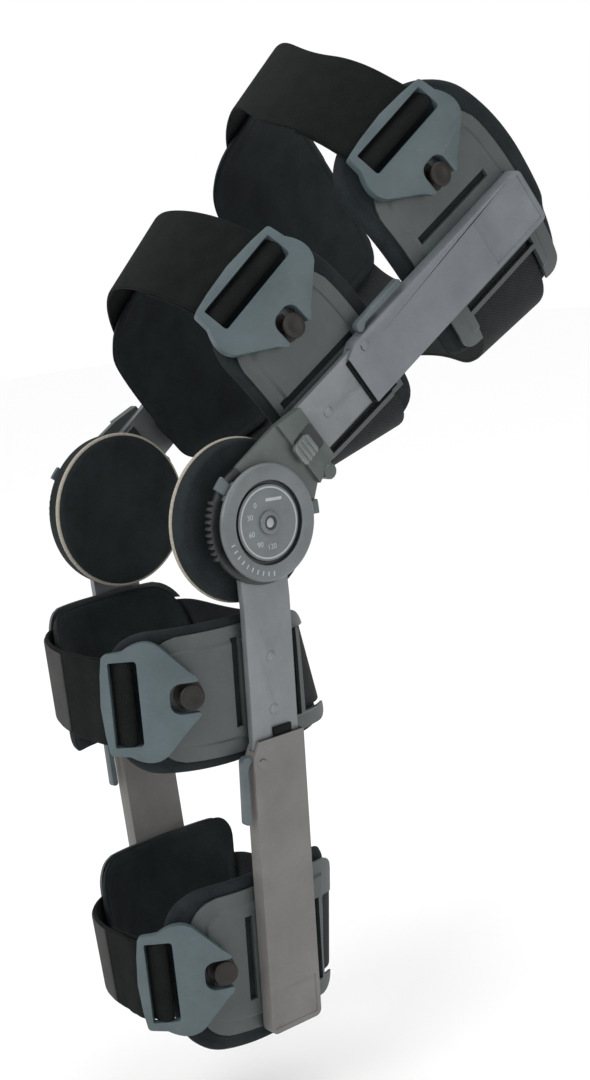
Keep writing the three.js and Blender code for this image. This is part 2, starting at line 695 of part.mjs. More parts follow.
// The buckle's own bent frame at a cuff: the place of x along its face and h above its underside, and the
// form's lean there.
function buckleFrame(cuff) {
  const { segment, level, stud } = cuff;
  const ahead = walk(segment, level, angleAt(segment, stud, level), Math.PI / 2);
  const angle = angleAtLength(ahead, -BUCKLE.tangent);
  const seat = formPoint(segment, angle, level, BUCKLE.lift);
  const out = formPoint(segment, angle, level, BUCKLE.lift + 1);
  const normal = new THREE.Vector2(out[0] - seat[0], out[1] - seat[1]);
  const rearward = new THREE.Vector2(-normal.y, normal.x);
  const lean = leanAt(segment, angle, level);
  const spot = (x, h) => {
    const turn = (x - BUCKLE.tangent) / BUCKLE.bend;
    const along = (BUCKLE.bend + h) * Math.sin(turn);
    const up = (BUCKLE.bend + h) * Math.cos(turn) - BUCKLE.bend;
    const placeX = seat[0] + rearward.x * along + normal.x * up;
    const placeY = seat[1] + rearward.y * along + normal.y * up;
    return [placeX, placeY, ...lean];
  };
  return { spot, ahead };
}

function buckleShape(strapWidth) {
  const { front, lip, frontMargin, margin, shoulder, tip, tipHalf, window, windowMargin } = BUCKLE;
  const { notch, notchHalf, notchRound, shoulderFront, shoulderRear, shoulderOut, flankOut, rearIn } = BUCKLE;
  const frontHalf = strapWidth / 2 + frontMargin;
  const half = strapWidth / 2 + margin;
  const windowHalf = strapWidth / 2 + windowMargin;
  const shape = new THREE.Shape();
  shape.moveTo(front - lip, 0);
  shape.lineTo(front, -frontHalf);
  shape.lineTo(shoulder - shoulderFront, -frontHalf - flankOut);
  shape.quadraticCurveTo(shoulder, -half - shoulderOut, shoulder + shoulderRear, -half + rearIn);
  shape.lineTo(tip, -tipHalf);
  shape.lineTo(tip, -notchHalf);
  shape.absarc(notch + notchRound, -notchHalf + notchRound, notchRound, -Math.PI / 2, -Math.PI, true);
  shape.absarc(notch + notchRound, notchHalf - notchRound, notchRound, Math.PI, Math.PI / 2, true);
  shape.lineTo(tip, notchHalf);
  shape.lineTo(tip, tipHalf);
  shape.lineTo(shoulder + shoulderRear, half - rearIn);
  shape.quadraticCurveTo(shoulder, half + shoulderOut, shoulder - shoulderFront, frontHalf + flankOut);
  shape.lineTo(front, frontHalf);
  shape.closePath();
  const hole = new THREE.Path();
  hole.moveTo(window[0], -windowHalf);
  hole.lineTo(window[0], windowHalf);
  hole.lineTo(window[1], windowHalf);
  hole.lineTo(window[1], -windowHalf);
  hole.closePath();
  shape.holes.push(hole);
  return shape;
}

function buckleGeometry(cuff) {
  const { spot } = buckleFrame(cuff);
  const { crossbar, windowMargin, thick } = BUCKLE;
  const { strap } = SEGMENTS[cuff.segment];
  const extrusion = { depth: thick, bevelEnabled: false, curveSegments: 3 };
  const flat = new THREE.ExtrudeGeometry(buckleShape(strap), extrusion);
  const fine = new TessellateModifier(30, 6).modify(flat);
  const bar = new THREE.CylinderGeometry(crossbar.radius, crossbar.radius, strap + 2 * windowMargin + 4, 10);
  bar.translate(crossbar.x, 0, crossbar.h);
  for (const geometry of [fine, bar]) {
    const p = geometry.attributes.position;
    for (let i = 0; i < p.count; i++) {
      const along = p.getY(i);
      const [x, y, leanX, leanY] = spot(p.getX(i), p.getZ(i));
      p.setXYZ(i, x + leanX * along, y + leanY * along, cuff.level + along);
    }
  }
  return join(fine, bar);
}

function strapPoint(segment, angle, level, offset) {
  return [...formPoint(segment, angle, level, offset).slice(0, 2), ...leanAt(segment, angle, level)];
}

// The strap's middle line: from its tucked inner end round the front, under the buckle's bar, round the
// crossbar and back under itself.
function frontStrap(cuff) {
  const { segment, level, frontSlot, rise } = cuff;
  const { spot, ahead } = buckleFrame(cuff);
  const { front, crossbar } = BUCKLE;
  const low = GAP + STRAP.thick / 2;
  const high = low + STRAP.thick + GAP;
  const tucked = STRAP.thick / 2 - STRAP.tuck;
  const begin = Math.PI - angleAt(segment, frontSlot + STRAP.pass, level + rise);
  const meet = angleAtLength(ahead, -front + STRAP.meet);
  const route = walk(segment, level, begin, meet);
  const total = route.at(-1).length;
  const path = [];
  for (const length of spread(route, 0, total, STRAP_STEP)) {
    const lift = THREE.MathUtils.smoothstep(length, total * STRAP.lift[0], total * STRAP.lift[1]);
    const angle = angleAtLength(route, length);
    path.push(strapPoint(segment, angle, level, lerp(tucked, high, lift)));
  }
  const loop = crossbar.radius + GAP + STRAP.thick / 2;
  path.push(...WAY_IN.map(({ x, h }) => spot(x, h)));
  for (const turn of WAY_ROUND) {
    path.push(spot(crossbar.x + loop * Math.cos(rad(turn)), crossbar.h + loop * Math.sin(rad(turn))));
  }
  path.push(...WAY_OUT.map(({ x, h }) => spot(x, h)));
  for (const further of STRAP.tail) {
    path.push(strapPoint(segment, angleAtLength(ahead, -front + further), level, low));
  }
  const side = section(segment, level).side;
  return ribbon(path, SEGMENTS[segment].strap, level, (x) => rise * tilt(x, side));
}

function rearStrap(cuff) {
  const { segment, rearLevel, rearSlot, rise } = cuff;
  const middle = STRAP.thick / 2 - STRAP.tuck;
  const begin = angleAt(segment, rearSlot - STRAP.pass, rearLevel);
  const route = walk(segment, rearLevel, begin, -Math.PI - begin);
  const lengths = spread(route, 0, route.at(-1).length, STRAP_STEP);
  const stations = lengths.map((length) => angleAtLength(route, length));
  const { side } = section(segment, rearLevel);
  const spot = (sign) => (i, j) => {
    const level = rearLevel + rise * tilt(side * Math.cos(stations[i]), side);
    const w = level + (j - 0.5) * SEGMENTS[segment].strap;
    return formPoint(segment, stations[i], w, middle + sign * STRAP.thick / 2);
  };
  return wall(stations.length, 2, spot(1), spot(-1));
}

// The assembly

const brace = new THREE.Group();
const groups = { thigh: new THREE.Group(), calf: new THREE.Group() };
groups.thigh.rotation.x = -rad(FLEXION);
brace.add(groups.thigh, groups.calf);

function add(name, segment, geometry, finish, side = 'lateral') {
  const shape = mirrored(geometry, side === 'lateral' ? 1 : -1, segment === 'thigh' ? 1 : -1);
  shape.computeVertexNormals();
  const material = new THREE.MeshStandardMaterial({ ...FINISHES[finish], flatShading: true });
  const mesh = new THREE.Mesh(shape, material);
  mesh.name = name;
  groups[segment].add(mesh);
}

for (const side of ['lateral', 'medial']) {
  add(`${side}_condyle_pad`, 'thigh', condylePad(), 'pad', side);
  add(`${side}_hinge_plate`, 'thigh', backPlate(), 'hinge', side);
  add(`${side}_hinge_cover`, 'thigh', cover(), 'hinge', side);
  add(`${side}_hinge_dial`, 'thigh', dial(), 'hinge', side);
  add(`${side}_hinge_pivot`, 'thigh', pivot(), 'steel', side);
  add(`${side}_lock_slide`, 'thigh', lockSlide(), 'hinge', side);
  add(`${side}_extension_stop`, 'thigh', stopTab(HINGE.stops.extension), 'hinge', side);
  add(`${side}_flexion_stop`, 'thigh', stopTab(HINGE.stops.flexion), 'hinge', side);
  for (const segment of ['thigh', 'calf']) {
    add(`${side}_${segment}_bar`, segment, barGeometry(segment), 'bar', side);
    add(`${side}_${segment}_sleeve`, segment, sleeveGeometry(segment), 'sleeve', side);
    add(`${side}_${segment}_lever`, segment, leverGeometry(segment), 'sleeve', side);
  }
}

for (const [name, cuff] of Object.entries(CUFFS)) {
  for (const side of ['lateral', 'medial']) {
    add(`${name}_${side}_shell`, cuff.segment, shellGeometry(cuff, side === 'lateral'), 'shell', side);
    add(`${name}_${side}_pad`, cuff.segment, padGeometry(cuff, side === 'lateral'), 'pad', side);
  }
  add(`${name}_buckle`, cuff.segment, buckleGeometry(cuff), 'buckle');
  add(`${name}_front_strap`, cuff.segment, frontStrap(cuff), 'strap');
  add(`${name}_rear_strap`, cuff.segment, rearStrap(cuff), 'strap');
}

export default brace;
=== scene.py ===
# %% [markdown]
# A hinged knee brace: two side bars with a hinge at the knee, and four strapped cuffs that hold them to
# the leg. The solids that the brace is packed from are loaded first and are never changed. Everything
# after that dresses them: a soft piece stands in the place of its plain solid, and a hard piece gets its
# rounded edges, its small features and its finish.

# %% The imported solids
import json
import math
import bmesh
import bpy
from mathutils import Matrix, Vector, noise

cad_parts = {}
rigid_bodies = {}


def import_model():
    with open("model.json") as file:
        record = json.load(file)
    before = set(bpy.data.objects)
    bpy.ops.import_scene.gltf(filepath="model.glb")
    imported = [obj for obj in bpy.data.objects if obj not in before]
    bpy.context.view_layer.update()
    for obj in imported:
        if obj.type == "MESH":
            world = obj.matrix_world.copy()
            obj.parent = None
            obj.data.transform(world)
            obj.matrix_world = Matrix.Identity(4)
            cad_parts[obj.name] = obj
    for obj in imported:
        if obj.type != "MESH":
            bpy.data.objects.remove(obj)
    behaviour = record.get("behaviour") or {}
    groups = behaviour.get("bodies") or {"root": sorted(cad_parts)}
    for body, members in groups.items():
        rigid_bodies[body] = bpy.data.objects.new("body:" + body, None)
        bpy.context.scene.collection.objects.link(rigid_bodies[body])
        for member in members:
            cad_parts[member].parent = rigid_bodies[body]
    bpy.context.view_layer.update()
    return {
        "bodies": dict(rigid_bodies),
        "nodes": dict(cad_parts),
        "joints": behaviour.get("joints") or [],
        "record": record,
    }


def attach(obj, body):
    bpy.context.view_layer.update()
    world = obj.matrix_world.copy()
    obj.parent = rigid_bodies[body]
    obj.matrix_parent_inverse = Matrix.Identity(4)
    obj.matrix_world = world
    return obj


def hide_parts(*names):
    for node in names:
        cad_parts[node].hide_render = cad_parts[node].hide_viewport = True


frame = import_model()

nodes = frame["nodes"]

# %% [markdown]
# The camera comes first, because it says which sides need the most care. It stands to the front and
# outside of the knee, a little above it, as far off as a product photographer would stand. Its axes are
# written as three columns, so it can be tipped by the few degrees that the lower leg leans.

# %% Camera
camera_data = bpy.data.cameras.new("camera")
camera_data.lens = 59.54
camera_data.sensor_width = 36
camera = bpy.data.objects.new("camera", camera_data)
bpy.context.collection.objects.link(camera)
right = Vector((0.6428, 0.7586, -0.1060))
up = Vector((-0.0633, 0.1904, 0.9797))
back = Vector((0.7634, -0.6230, 0.1704))
turn = Matrix((right, up, back)).transposed().to_4x4()
camera.matrix_world = Matrix.Translation((0.8203, -0.5850, 0.1518)) @ turn
bpy.context.scene.camera = camera
print("camera at", tuple(round(c, 3) for c in camera.location))

# %% [markdown]
# A plain studio: a pale floor well below the brace, which hangs where the leg would hold it, a pale
# surround, a broad sky light from above, and two large soft lamps. Large lamps close by give the grey
# plastics broad soft highlights and let the black cloth keep some shape.

# %% Studio
FLOOR_Z = -0.36
bpy.ops.object.select_all(action="DESELECT")
bpy.ops.mesh.primitive_plane_add(size=12, location=(0, 0, FLOOR_Z))
floor = bpy.context.object
floor.name = "floor"
pale = bpy.data.materials.new("pale_floor")
pale.use_nodes = True
pale.node_tree.nodes["Principled BSDF"].inputs["Base Color"].default_value = (0.92, 0.92, 0.92, 1)
pale.node_tree.nodes["Principled BSDF"].inputs["Roughness"].default_value = 0.9
floor.data.materials.append(pale)
world = bpy.data.worlds.new("surround")
world.use_nodes = True
surround = world.node_tree.nodes["Background"]
surround.inputs["Color"].default_value = (1, 1, 1, 1)
seen = world.node_tree.nodes.new("ShaderNodeLightPath")
level = world.node_tree.nodes.new("ShaderNodeMapRange")
level.inputs["To Min"].default_value = 0.42
level.inputs["To Max"].default_value = 1.0
world.node_tree.links.new(seen.outputs["Is Camera Ray"], level.inputs["Value"])
world.node_tree.links.new(level.outputs["Result"], surround.inputs["Strength"])
bpy.context.scene.world = world
bpy.context.scene.view_settings.view_transform = "Standard"


def soft_lamp(name, place, aim, size, watts):
    lamp = bpy.data.lights.new(name, "AREA")
    lamp.size = size
    lamp.energy = watts
    stand = bpy.data.objects.new(name, lamp)
    stand.location = place
    stand.rotation_euler = (Vector(aim) - Vector(place)).to_track_quat("-Z", "Y").to_euler()
    bpy.context.collection.objects.link(stand)


soft_lamp("front_lamp", (0.5, -1.7, 0.9), (0, 0.05, 0), 1.0, 16)
soft_lamp("side_lamp", (1.9, 0.3, 0.5), (0, 0.05, 0), 1.0, 6)
sky = bpy.data.lights.new("sky_light", "SUN")
sky.angle = math.radians(90)
sky.energy = 2.08
bpy.context.collection.objects.link(bpy.data.objects.new("sky_light", sky))
print("lamps:", [lamp.name for lamp in bpy.data.lights])

# %% [markdown]
# The brace is drawn in millimetres along each segment of the leg: x to the side, v back from the hinge's
# axis, w along the segment away from the hinge. One function turns such a place into the scene's metres.
# The thigh leans back from the knee and the calf hangs straight down.

# %% Places on the two segments
MM = 0.001
FLEXION = math.radians(54)
SIDES = {"lateral": 1, "medial": -1}


def seat(segment, x, v, w):
    if segment == "calf":
        return Vector((x, v, -w)) * MM
    y = v * math.cos(FLEXION) + w * math.sin(FLEXION)
    z = -v * math.sin(FLEXION) + w * math.cos(FLEXION)
    return Vector((x, y, z)) * MM


def lerp(a, b, t):
    return a + (b - a) * t


def smoothstep(value, low, high):
    t = min(1, max(0, (value - low) / (high - low)))
    return t * t * (3 - 2 * t)


print("hinge to upper end:", seat("thigh", 0, 0, 275))

# %% [markdown]
# The cuffs wrap a form: a leg's section at each level, which is flatter at the back than at the front. The
# same form was used for the solids, so its numbers are repeated here. Wrapping everything on one form is
# simpler than bending each piece with its own deformer, and it keeps the gaps between the layers even.

# %% The form that the cuffs wrap
GAP = 0.3
BAR_FACE = 74
SHELL_THICK = 2.5
PAD_THICK = 9
PAD_DROP = 9.2
SEGMENTS = {
    "thigh": {"bar_v": -9, "bend": 60, "flare": 8.6, "middle": -24, "strap": 56},
    "calf": {"bar_v": 0, "bend": 44, "flare": -4, "middle": -8, "strap": 47},
}
SECTIONS = {
    "thigh": [(40, 108, 25), (138, 121.4, 58), (310, 136, 80)],
    "calf": [(40, 82, 35.5), (132, 80.5, 60), (190, 78, 57), (310, 72, 46)],
}
FRONT_ROUNDNESS = 2.4
BACK_ROUNDNESS = 5


def bar_face(segment, w):
    shape = SEGMENTS[segment]
    return BAR_FACE + max(0, w - shape["bend"]) * math.tan(math.radians(shape["flare"]))


def section(segment, w):
    rows = SECTIONS[segment]
    k = 1
    while k < len(rows) - 1 and rows[k][0] < w:
        k += 1
    t = (w - rows[k - 1][0]) / (rows[k][0] - rows[k - 1][0])
    middle = SEGMENTS[segment]["middle"]
    front = lerp(rows[k - 1][1], rows[k][1], t) + middle
    rear = lerp(rows[k - 1][2], rows[k][2], t) - middle
    return bar_face(segment, w) - PAD_DROP, front, rear, middle


def form_point(segment, angle, w, offset=0):
    side, front, rear, middle = section(segment, w)
    ahead = math.sin(angle) >= 0
    depth = front if ahead else rear
    power = FRONT_ROUNDNESS if ahead else BACK_ROUNDNESS
    cos = math.cos(angle)
    sin = math.sin(angle)
    x = math.copysign(abs(cos) ** (2 / power), cos)
    y = -math.copysign(abs(sin) ** (2 / power), sin)
    nx = math.copysign(abs(x) ** (power - 1), x) / side
    ny = math.copysign(abs(y) ** (power - 1), y) / depth
    size = math.hypot(nx, ny)
    return side * x + nx / size * offset, middle + depth * y + ny / size * offset, w


def angle_at(segment, v, w):
    side, front, rear, middle = section(segment, w)
    depth = front if v < middle else rear
    power = FRONT_ROUNDNESS if v < middle else BACK_ROUNDNESS
    angle = math.asin(min(1, abs(v - middle) / depth) ** (power / 2))
    return angle if v < middle else -angle


def lean_at(segment, angle, w):
    low = form_point(segment, angle, w)
    high = form_point(segment, angle, w + 1)
    return high[0] - low[0], high[1] - low[1]


def walk(segment, w, start, end, steps=240):
    route = [(start, 0)]
    last = form_point(segment, start, w)
    for k in range(1, steps + 1):
        angle = lerp(start, end, k / steps)
        spot = form_point(segment, angle, w)
        route.append((angle, route[-1][1] + math.hypot(spot[0] - last[0], spot[1] - last[1])))
        last = spot
    return route


def angle_at_length(route, length):
    for (a0, l0), (a1, l1) in zip(route, route[1:]):
        if l1 >= length:
            return lerp(a0, a1, (length - l0) / (l1 - l0))
    return route[-1][0]


print("thigh section at 214 mm:", [round(n, 1) for n in section("thigh", 214)])

# %% [markdown]
# Each cuff has a padded lining, a plastic shell on each side, a strap across the front with its buckle,
# and a strap across the back. This table says where they lie. The inner side's pieces sit further along
# the leg than the outer side's by the cuff's rise.

# %% The cuffs
CUFFS = {
    "upper_thigh": {
        "segment": "thigh", "level": 214, "rise": 33, "rear_level": 217, "stud": -57,
        "front_slot": -36, "rear_slot": 17.5,
        "shell": (-78, 43, 174, 262, 20, 9, 9, 4), "pad": (-104, 49, 166, 275, 34, 16, 16, 14),
    },
    "lower_thigh": {
        "segment": "thigh", "level": 89, "rise": 8, "rear_level": 94, "stud": -58,
        "front_slot": -28, "rear_slot": 14, "notch_far": 12,
        "shell": (-75, 36, 55, 128, 18, 18, 18, 3), "pad": (-92, 40, 51, 138, 28, 28, 28, 6),
    },
    "upper_calf": {
        "segment": "calf", "level": 86, "rise": -5, "rear_level": 90, "stud": -47,
        "front_slot": -18.5, "rear_slot": 22.5,
        "shell": (-64, 41, 54, 126, 18, 18, 9, 3), "pad": (-78, 44, 50, 132, 26, 26, 14, 5),
    },
    "lower_calf": {
        "segment": "calf", "level": 247, "rise": -4, "rear_level": 253, "stud": -41,
        "front_slot": -22.5, "rear_slot": 26.5,
        "shell": (-54, 40, 206, 291, 18, 9, 9, 3), "pad": (-66, 44, 200, 301, 28, 14, 14, 6),
    },
}
print("cuffs:", list(CUFFS))

# %% [markdown]
# Finishes are written as sums. A Shade wraps one socket of a material's nodes, so that noise * 2 + 1 adds
# the Math nodes for it, and its node method makes any other node. That reads more easily than pages of
# links.

# %% Shader sums


class Shade:
    def __init__(self, tree, socket=None):
        self.tree = tree
        self.socket = socket

    def node(self, kind, settings=None, sockets=None, out=0):
        made = self.tree.nodes.new(kind)
        for key, value in (settings or {}).items():
            if key == "stops":
                ramp = made.color_ramp
                while len(ramp.elements) < len(value):
                    ramp.elements.new(0.5)
                for stop, (place, colour) in zip(ramp.elements, value):
                    stop.position = place
                    stop.color = (*colour, 1)
            else:
                setattr(made, key, value)
        for key, value in (sockets or {}).items():
            if isinstance(value, Shade):
                self.tree.links.new(value.socket, made.inputs[key])
            else:
                made.inputs[key].default_value = value
        return Shade(self.tree, made.outputs[out])

    def sum(self, operation, first, second):
        return self.node("ShaderNodeMath", {"operation": operation}, {0: first, 1: second})

    def __add__(self, other):
        return self.sum("ADD", self, other)

    def __radd__(self, other):
        return self.sum("ADD", other, self)

    def __sub__(self, other):
        return self.sum("SUBTRACT", self, other)

    def __rsub__(self, other):
        return self.sum("SUBTRACT", other, self)

    def __mul__(self, other):
        return self.sum("MULTIPLY", self, other)

    def __rmul__(self, other):
        return self.sum("MULTIPLY", other, self)

    def __gt__(self, other):
        return self.sum("GREATER_THAN", self, other)

    def __lt__(self, other):
        return self.sum("LESS_THAN", self, other)


def linear(hexcode):
    parts = [((hexcode >> shift) & 255) / 255 for shift in (16, 8, 0)]
    return tuple(p / 12.92 if p <= 0.04045 else ((p + 0.055) / 1.055) ** 2.4 for p in parts)


def finish(name, **constants):
    material = bpy.data.materials.new(name)
    material.use_nodes = True
    shader = material.node_tree.nodes["Principled BSDF"]
    for key, value in constants.items():
        shader.inputs[key.replace("_", " ")].default_value = value
    return material, shader, Shade(material.node_tree)


def feed(shader, **links):
    for key, value in links.items():
        value.tree.links.new(value.socket, shader.inputs[key.replace("_", " ")])


def grain(shade, scale, detail=3.0, rough=0.6, stretch=(1, 1, 1)):
    place = shade.node("ShaderNodeTexCoord", out="Object")
    place = shade.node("ShaderNodeMapping", None, {"Vector": place, "Scale": stretch})
    settings = {"Vector": place, "Scale": scale, "Detail": detail, "Roughness": rough}
    return shade.node("ShaderNodeTexNoise", None, settings)


def tones(shade, factor, *stops):
    stops = [(place, linear(code)) for place, code in stops]
    return shade.node("ShaderNodeValToRGB", {"stops": stops}, {"Fac": factor})


def relief(shade, height, depth, strength=1.0):
    return shade.node("ShaderNodeBump", None, {"Height": height, "Distance": depth, "Strength": strength})


print("grey of a sleeve in linear light:", linear(0x787D82))

# %% [markdown]
# The straps are faced with the soft loops that a hook tape grips: near black, a little uneven, with a
# faint sheen where the loops catch the light along an edge. Two noises, one for the loops and one for the
# way they lie in patches, feed both the colour and the bump. The sheen itself is one number on the shader.

# %% Strap cloth
strap_cloth, shader, shade = finish(
    "strap_loop_cloth", Roughness=0.95, Specular_IOR_Level=0.1, Sheen_Weight=0.015)
loops = grain(shade, 1500, 2.0, 0.5)
lie = grain(shade, 90, 4.0, 0.6)
mottle = loops * 0.6 + lie * 0.4
feed(shader, Base_Color=tones(shade, mottle, (0.3, 0x0A0C0C), (0.7, 0x1A1D1D)))
feed(shader, Normal=relief(shade, loops + lie * 0.5, 0.0007, 0.7))
print("made", strap_cloth.name)

# %% [markdown]
# The calf straps end in a tab of grey tape, which is felted and paler than the strap it grips.

# %% Tab tape
tab_tape, shader, shade = finish("tab_grey_tape", Roughness=0.9, Specular_IOR_Level=0.15)
nap = grain(shade, 1700, 2.0, 0.5)
lie = grain(shade, 70, 4.0, 0.6)
feed(shader, Base_Color=tones(shade, nap * 0.5 + lie * 0.5, (0.3, 0x363736), (0.7, 0x4C4D4B)))
feed(shader, Normal=relief(shade, nap, 0.0006, 0.7))
print("made", tab_tape.name)

# %% [markdown]
# The straps at the back are plain woven webbing: smoother and tighter than the loop cloth. Its yarns run
# with the strap, so the pattern reads the strap's own UV map, which is kept in metres.

# %% Webbing
webbing, shader, shade = finish("rear_webbing", Roughness=0.75, Specular_IOR_Level=0.2)
WEAVE = 2600
place = shade.node("ShaderNodeTexCoord", out="UV")
along = shade.node("ShaderNodeSeparateXYZ", None, {"Vector": place}, out="X")
across = shade.node("ShaderNodeSeparateXYZ", None, {"Vector": place}, out="Y")
warp = shade.node("ShaderNodeMath", {"operation": "SINE"}, {0: across * WEAVE})
weft = shade.node("ShaderNodeMath", {"operation": "SINE"}, {0: along * WEAVE})
weave = warp * weft * 0.5 + 0.5
lie = grain(shade, 120)
feed(shader, Base_Color=tones(shade, weave * 0.5 + lie * 0.5, (0.25, 0x131516), (0.8, 0x272A2B)))
feed(shader, Normal=relief(shade, weave, 0.0004, 0.6))
print("made", webbing.name)

# %% [markdown]
# The pads are foam under a fine knitted cover, black with a slight green-blue cast. The knit is a field of
# small cells, and slow noise lightens it in places as worn foam shows.

# %% Pad cover
pad_cover, shader, shade = finish(
    "pad_knit_cover", Roughness=0.85, Specular_IOR_Level=0.15, Sheen_Weight=0.015)
place = shade.node("ShaderNodeTexCoord", out="Object")
knit = shade.node("ShaderNodeTexVoronoi", None, {"Vector": place, "Scale": 900})
lie = grain(shade, 45, 4.0)
feed(shader, Base_Color=tones(shade, lie * 0.8 + knit * 0.2, (0.3, 0x14191B), (0.7, 0x23292B)))
feed(shader, Normal=relief(shade, knit, 0.0004, 0.5))
print("made", pad_cover.name)

# %% [markdown]
# The round pads beside the knee have a pale lining, which shows as a bead round their inner edge.

# %% Pale foam edge
foam_edge, shader, shade = finish("pale_foam_edge", Roughness=0.9)
pores = grain(shade, 1100, 3.0)
feed(shader, Base_Color=tones(shade, pores, (0.3, 0x857F74), (0.7, 0xA9A396)))
feed(shader, Normal=relief(shade, pores, 0.0005, 0.6))
print("made", foam_edge.name)

# %% [markdown]
# The hard parts are greys that differ slightly: moulded plastic for shells, sleeves, buckles and hinge,
# and painted metal for the bars. One recipe makes them all. A fine grain gives the moulded texture, a slow
# noise shifts the tone and the gloss, and thin long scratches show as slightly paler lines.

# %% Hard greys
MOTTLE_SCALE = 38
GRAIN_SCALE = 1900
SCRATCH_SCALE = 160
SCRATCH_STRETCH = (1, 1, 14)
SCRATCH_FROM = 0.67
SCRATCH_PALE = 0.18
FINE_RELIEF = 0.00004
PAINT_RELIEF = 0.00006
MOULD_RELIEF = 0.00012
BRUSHED = (1, 1, 0.05)


def hard_grey(name, dark, light, rough, metal=0.0, texture=MOULD_RELIEF, stretch=(1, 1, 1),
              coat=0.0, shine=0.5):
    material, shader, shade = finish(
        name, Metallic=metal, Coat_Weight=coat, Coat_Roughness=0.25, Specular_IOR_Level=shine)
    slow = grain(shade, MOTTLE_SCALE, 4.0, 0.6)
    fine = grain(shade, GRAIN_SCALE, 2.0, 0.5, stretch)
    scratch = grain(shade, SCRATCH_SCALE, 2.0, 0.5, SCRATCH_STRETCH)
    scuffs = (scratch > SCRATCH_FROM) * SCRATCH_PALE
    worn = slow * 0.75 + fine * 0.25 + scuffs
    feed(shader, Base_Color=tones(shade, worn, (0.3, dark), (0.75, light)))
    feed(shader, Roughness=slow * 0.2 + fine * 0.1 + (rough - 0.15))
    feed(shader, Normal=relief(shade, fine, texture, 0.6))
    return material


shell_grey = hard_grey("shell_moulded_grey", 0x353B3B, 0x474E4D, 0.4)
buckle_grey = hard_grey("buckle_blue_grey", 0x39464A, 0x4D5A5E, 0.42)
thigh_grey = hard_grey("thigh_sleeve_grey", 0x595E63, 0x6D7277, 0.45)
calf_grey = hard_grey("calf_sleeve_grey", 0x5D5C5A, 0x71706D, 0.5)
bar_grey = hard_grey("bar_painted_grey", 0x686C6F, 0x7C8083, 0.4, 0.35, PAINT_RELIEF, BRUSHED)
hinge_grey = hard_grey("hinge_moulded_grey", 0x505557, 0x676D70, 0.36, coat=0.15)
neck_grey = hard_grey("hinge_neck_grey", 0x3F4644, 0x535B58, 0.4)
# The hinge's own dark plastic, and also the painted shade in the sleeve mouths, the dial grooves and round
# the lock slides.
dark_grey_and_shade = hard_grey("hinge_dark_and_shade_grey", 0x17191A, 0x2A2D2F, 0.4)
slide_grey = hard_grey("slide_green_grey", 0x4C5451, 0x6C7471, 0.25, coat=0.4)
lever_grey = hard_grey("lever_blue_grey", 0x3F484B, 0x555F62, 0.4)
steel = hard_grey("turned_steel", 0x8E9193, 0xB4B7B9, 0.3, 0.85, FINE_RELIEF)
stud_grey = hard_grey("stud_brown_grey", 0x1C1A18, 0x2D2A26, 0.38, shine=0.25)
# Near black for the blocks at the sleeve mouths, which are painted shade.
mouth_shade_black = hard_grey("mouth_painted_shade_grey", 0x060708, 0x101213, 0.5, shine=0.1)
mark_pale = hard_grey("mark_pale_grey", 0x8E9394, 0xA4A9AA, 0.5)
print("hard finishes:", sum(1 for m in bpy.data.materials if m.name.endswith("grey")))

# %% [markdown]
# Modelling helpers, each a few strokes of Blender's own tools. A wire is a circle whose points are moved
# onto an outline. A laid wall is a grid that Solidify gives two faces, and whose points are then set on
# two surfaces, which suits anything thin that follows the leg. A plate is a filled outline, extruded.

# %% Modelling helpers
WELD = 0.000002


def choose(piece):
    bpy.ops.object.select_all(action="DESELECT")
    piece.select_set(True)
    bpy.context.view_layer.objects.active = piece


def added(name, add, **settings):
    bpy.ops.object.select_all(action="DESELECT")
    add(**settings)
    piece = bpy.context.object
    piece.name = name
    piece.data.name = name
    return piece


def edit(piece):
    choose(piece)
    bpy.ops.object.mode_set(mode="EDIT")
    bpy.ops.mesh.select_all(action="SELECT")


def leave_edit():
    bpy.ops.object.mode_set(mode="OBJECT")


def modify(piece, kind, **settings):
    choose(piece)
    modifier = piece.modifiers.new(kind.lower(), kind)
    for key, value in settings.items():
        setattr(modifier, key, value)
    bpy.ops.object.modifier_apply(modifier=modifier.name)


def smooth(piece, degrees=None):
    choose(piece)
    if degrees is None:
        bpy.ops.object.shade_smooth()
    else:
        bpy.ops.object.shade_smooth_by_angle(angle=math.radians(degrees))


def face_out(piece):
    edit(piece)
    bpy.ops.mesh.remove_doubles(threshold=WELD)
    bpy.ops.mesh.normals_make_consistent(inside=False)
    form = bmesh.from_edit_mesh(piece.data)
    if form.calc_volume(signed=True) < 0:
        bpy.ops.mesh.flip_normals()
    leave_edit()


def round_edges(piece, width, segments=2, degrees=35):
    modify(piece, "BEVEL", width=width * MM, segments=segments, limit_method="ANGLE",
           angle_limit=math.radians(degrees), harden_normals=False)


def move_points(piece, place):
    for point in piece.data.vertices:
        point.co = place(*point.co)
    piece.data.update()


def dress(piece, material, body, slot, *stands_for):
    piece.data.materials.clear()
    piece.data.materials.append(material)
    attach(piece, body)
    if stands_for:
        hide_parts(*stands_for)
    return piece


def join_into(piece, *others):
    choose(piece)
    for other in others:
        other.select_set(True)
    bpy.ops.object.join()
    return piece


print("helpers ready")

# %% The laid wall


def laid_wall(name, columns, rows, outer, inner):
    grid = {"x_subdivisions": columns - 1, "y_subdivisions": rows - 1}
    piece = added(name, bpy.ops.mesh.primitive_grid_add, size=1, **grid)
    modify(piece, "SOLIDIFY", thickness=0.1, offset=-1)
    for point in piece.data.vertices:
        i = round((point.co.x + 0.5) * (columns - 1))
        j = round((point.co.y + 0.5) * (rows - 1))
        point.co = outer(i, j) if point.co.z > -0.05 else inner(i, j)
    face_out(piece)
    return piece


def cut_away(piece, *tools):
    tool = join_into(*tools)
    face_out(tool)
    modify(piece, "BOOLEAN", object=tool, operation="DIFFERENCE", solver="EXACT")
    choose(tool)
    bpy.ops.object.delete()


print("walls ready")

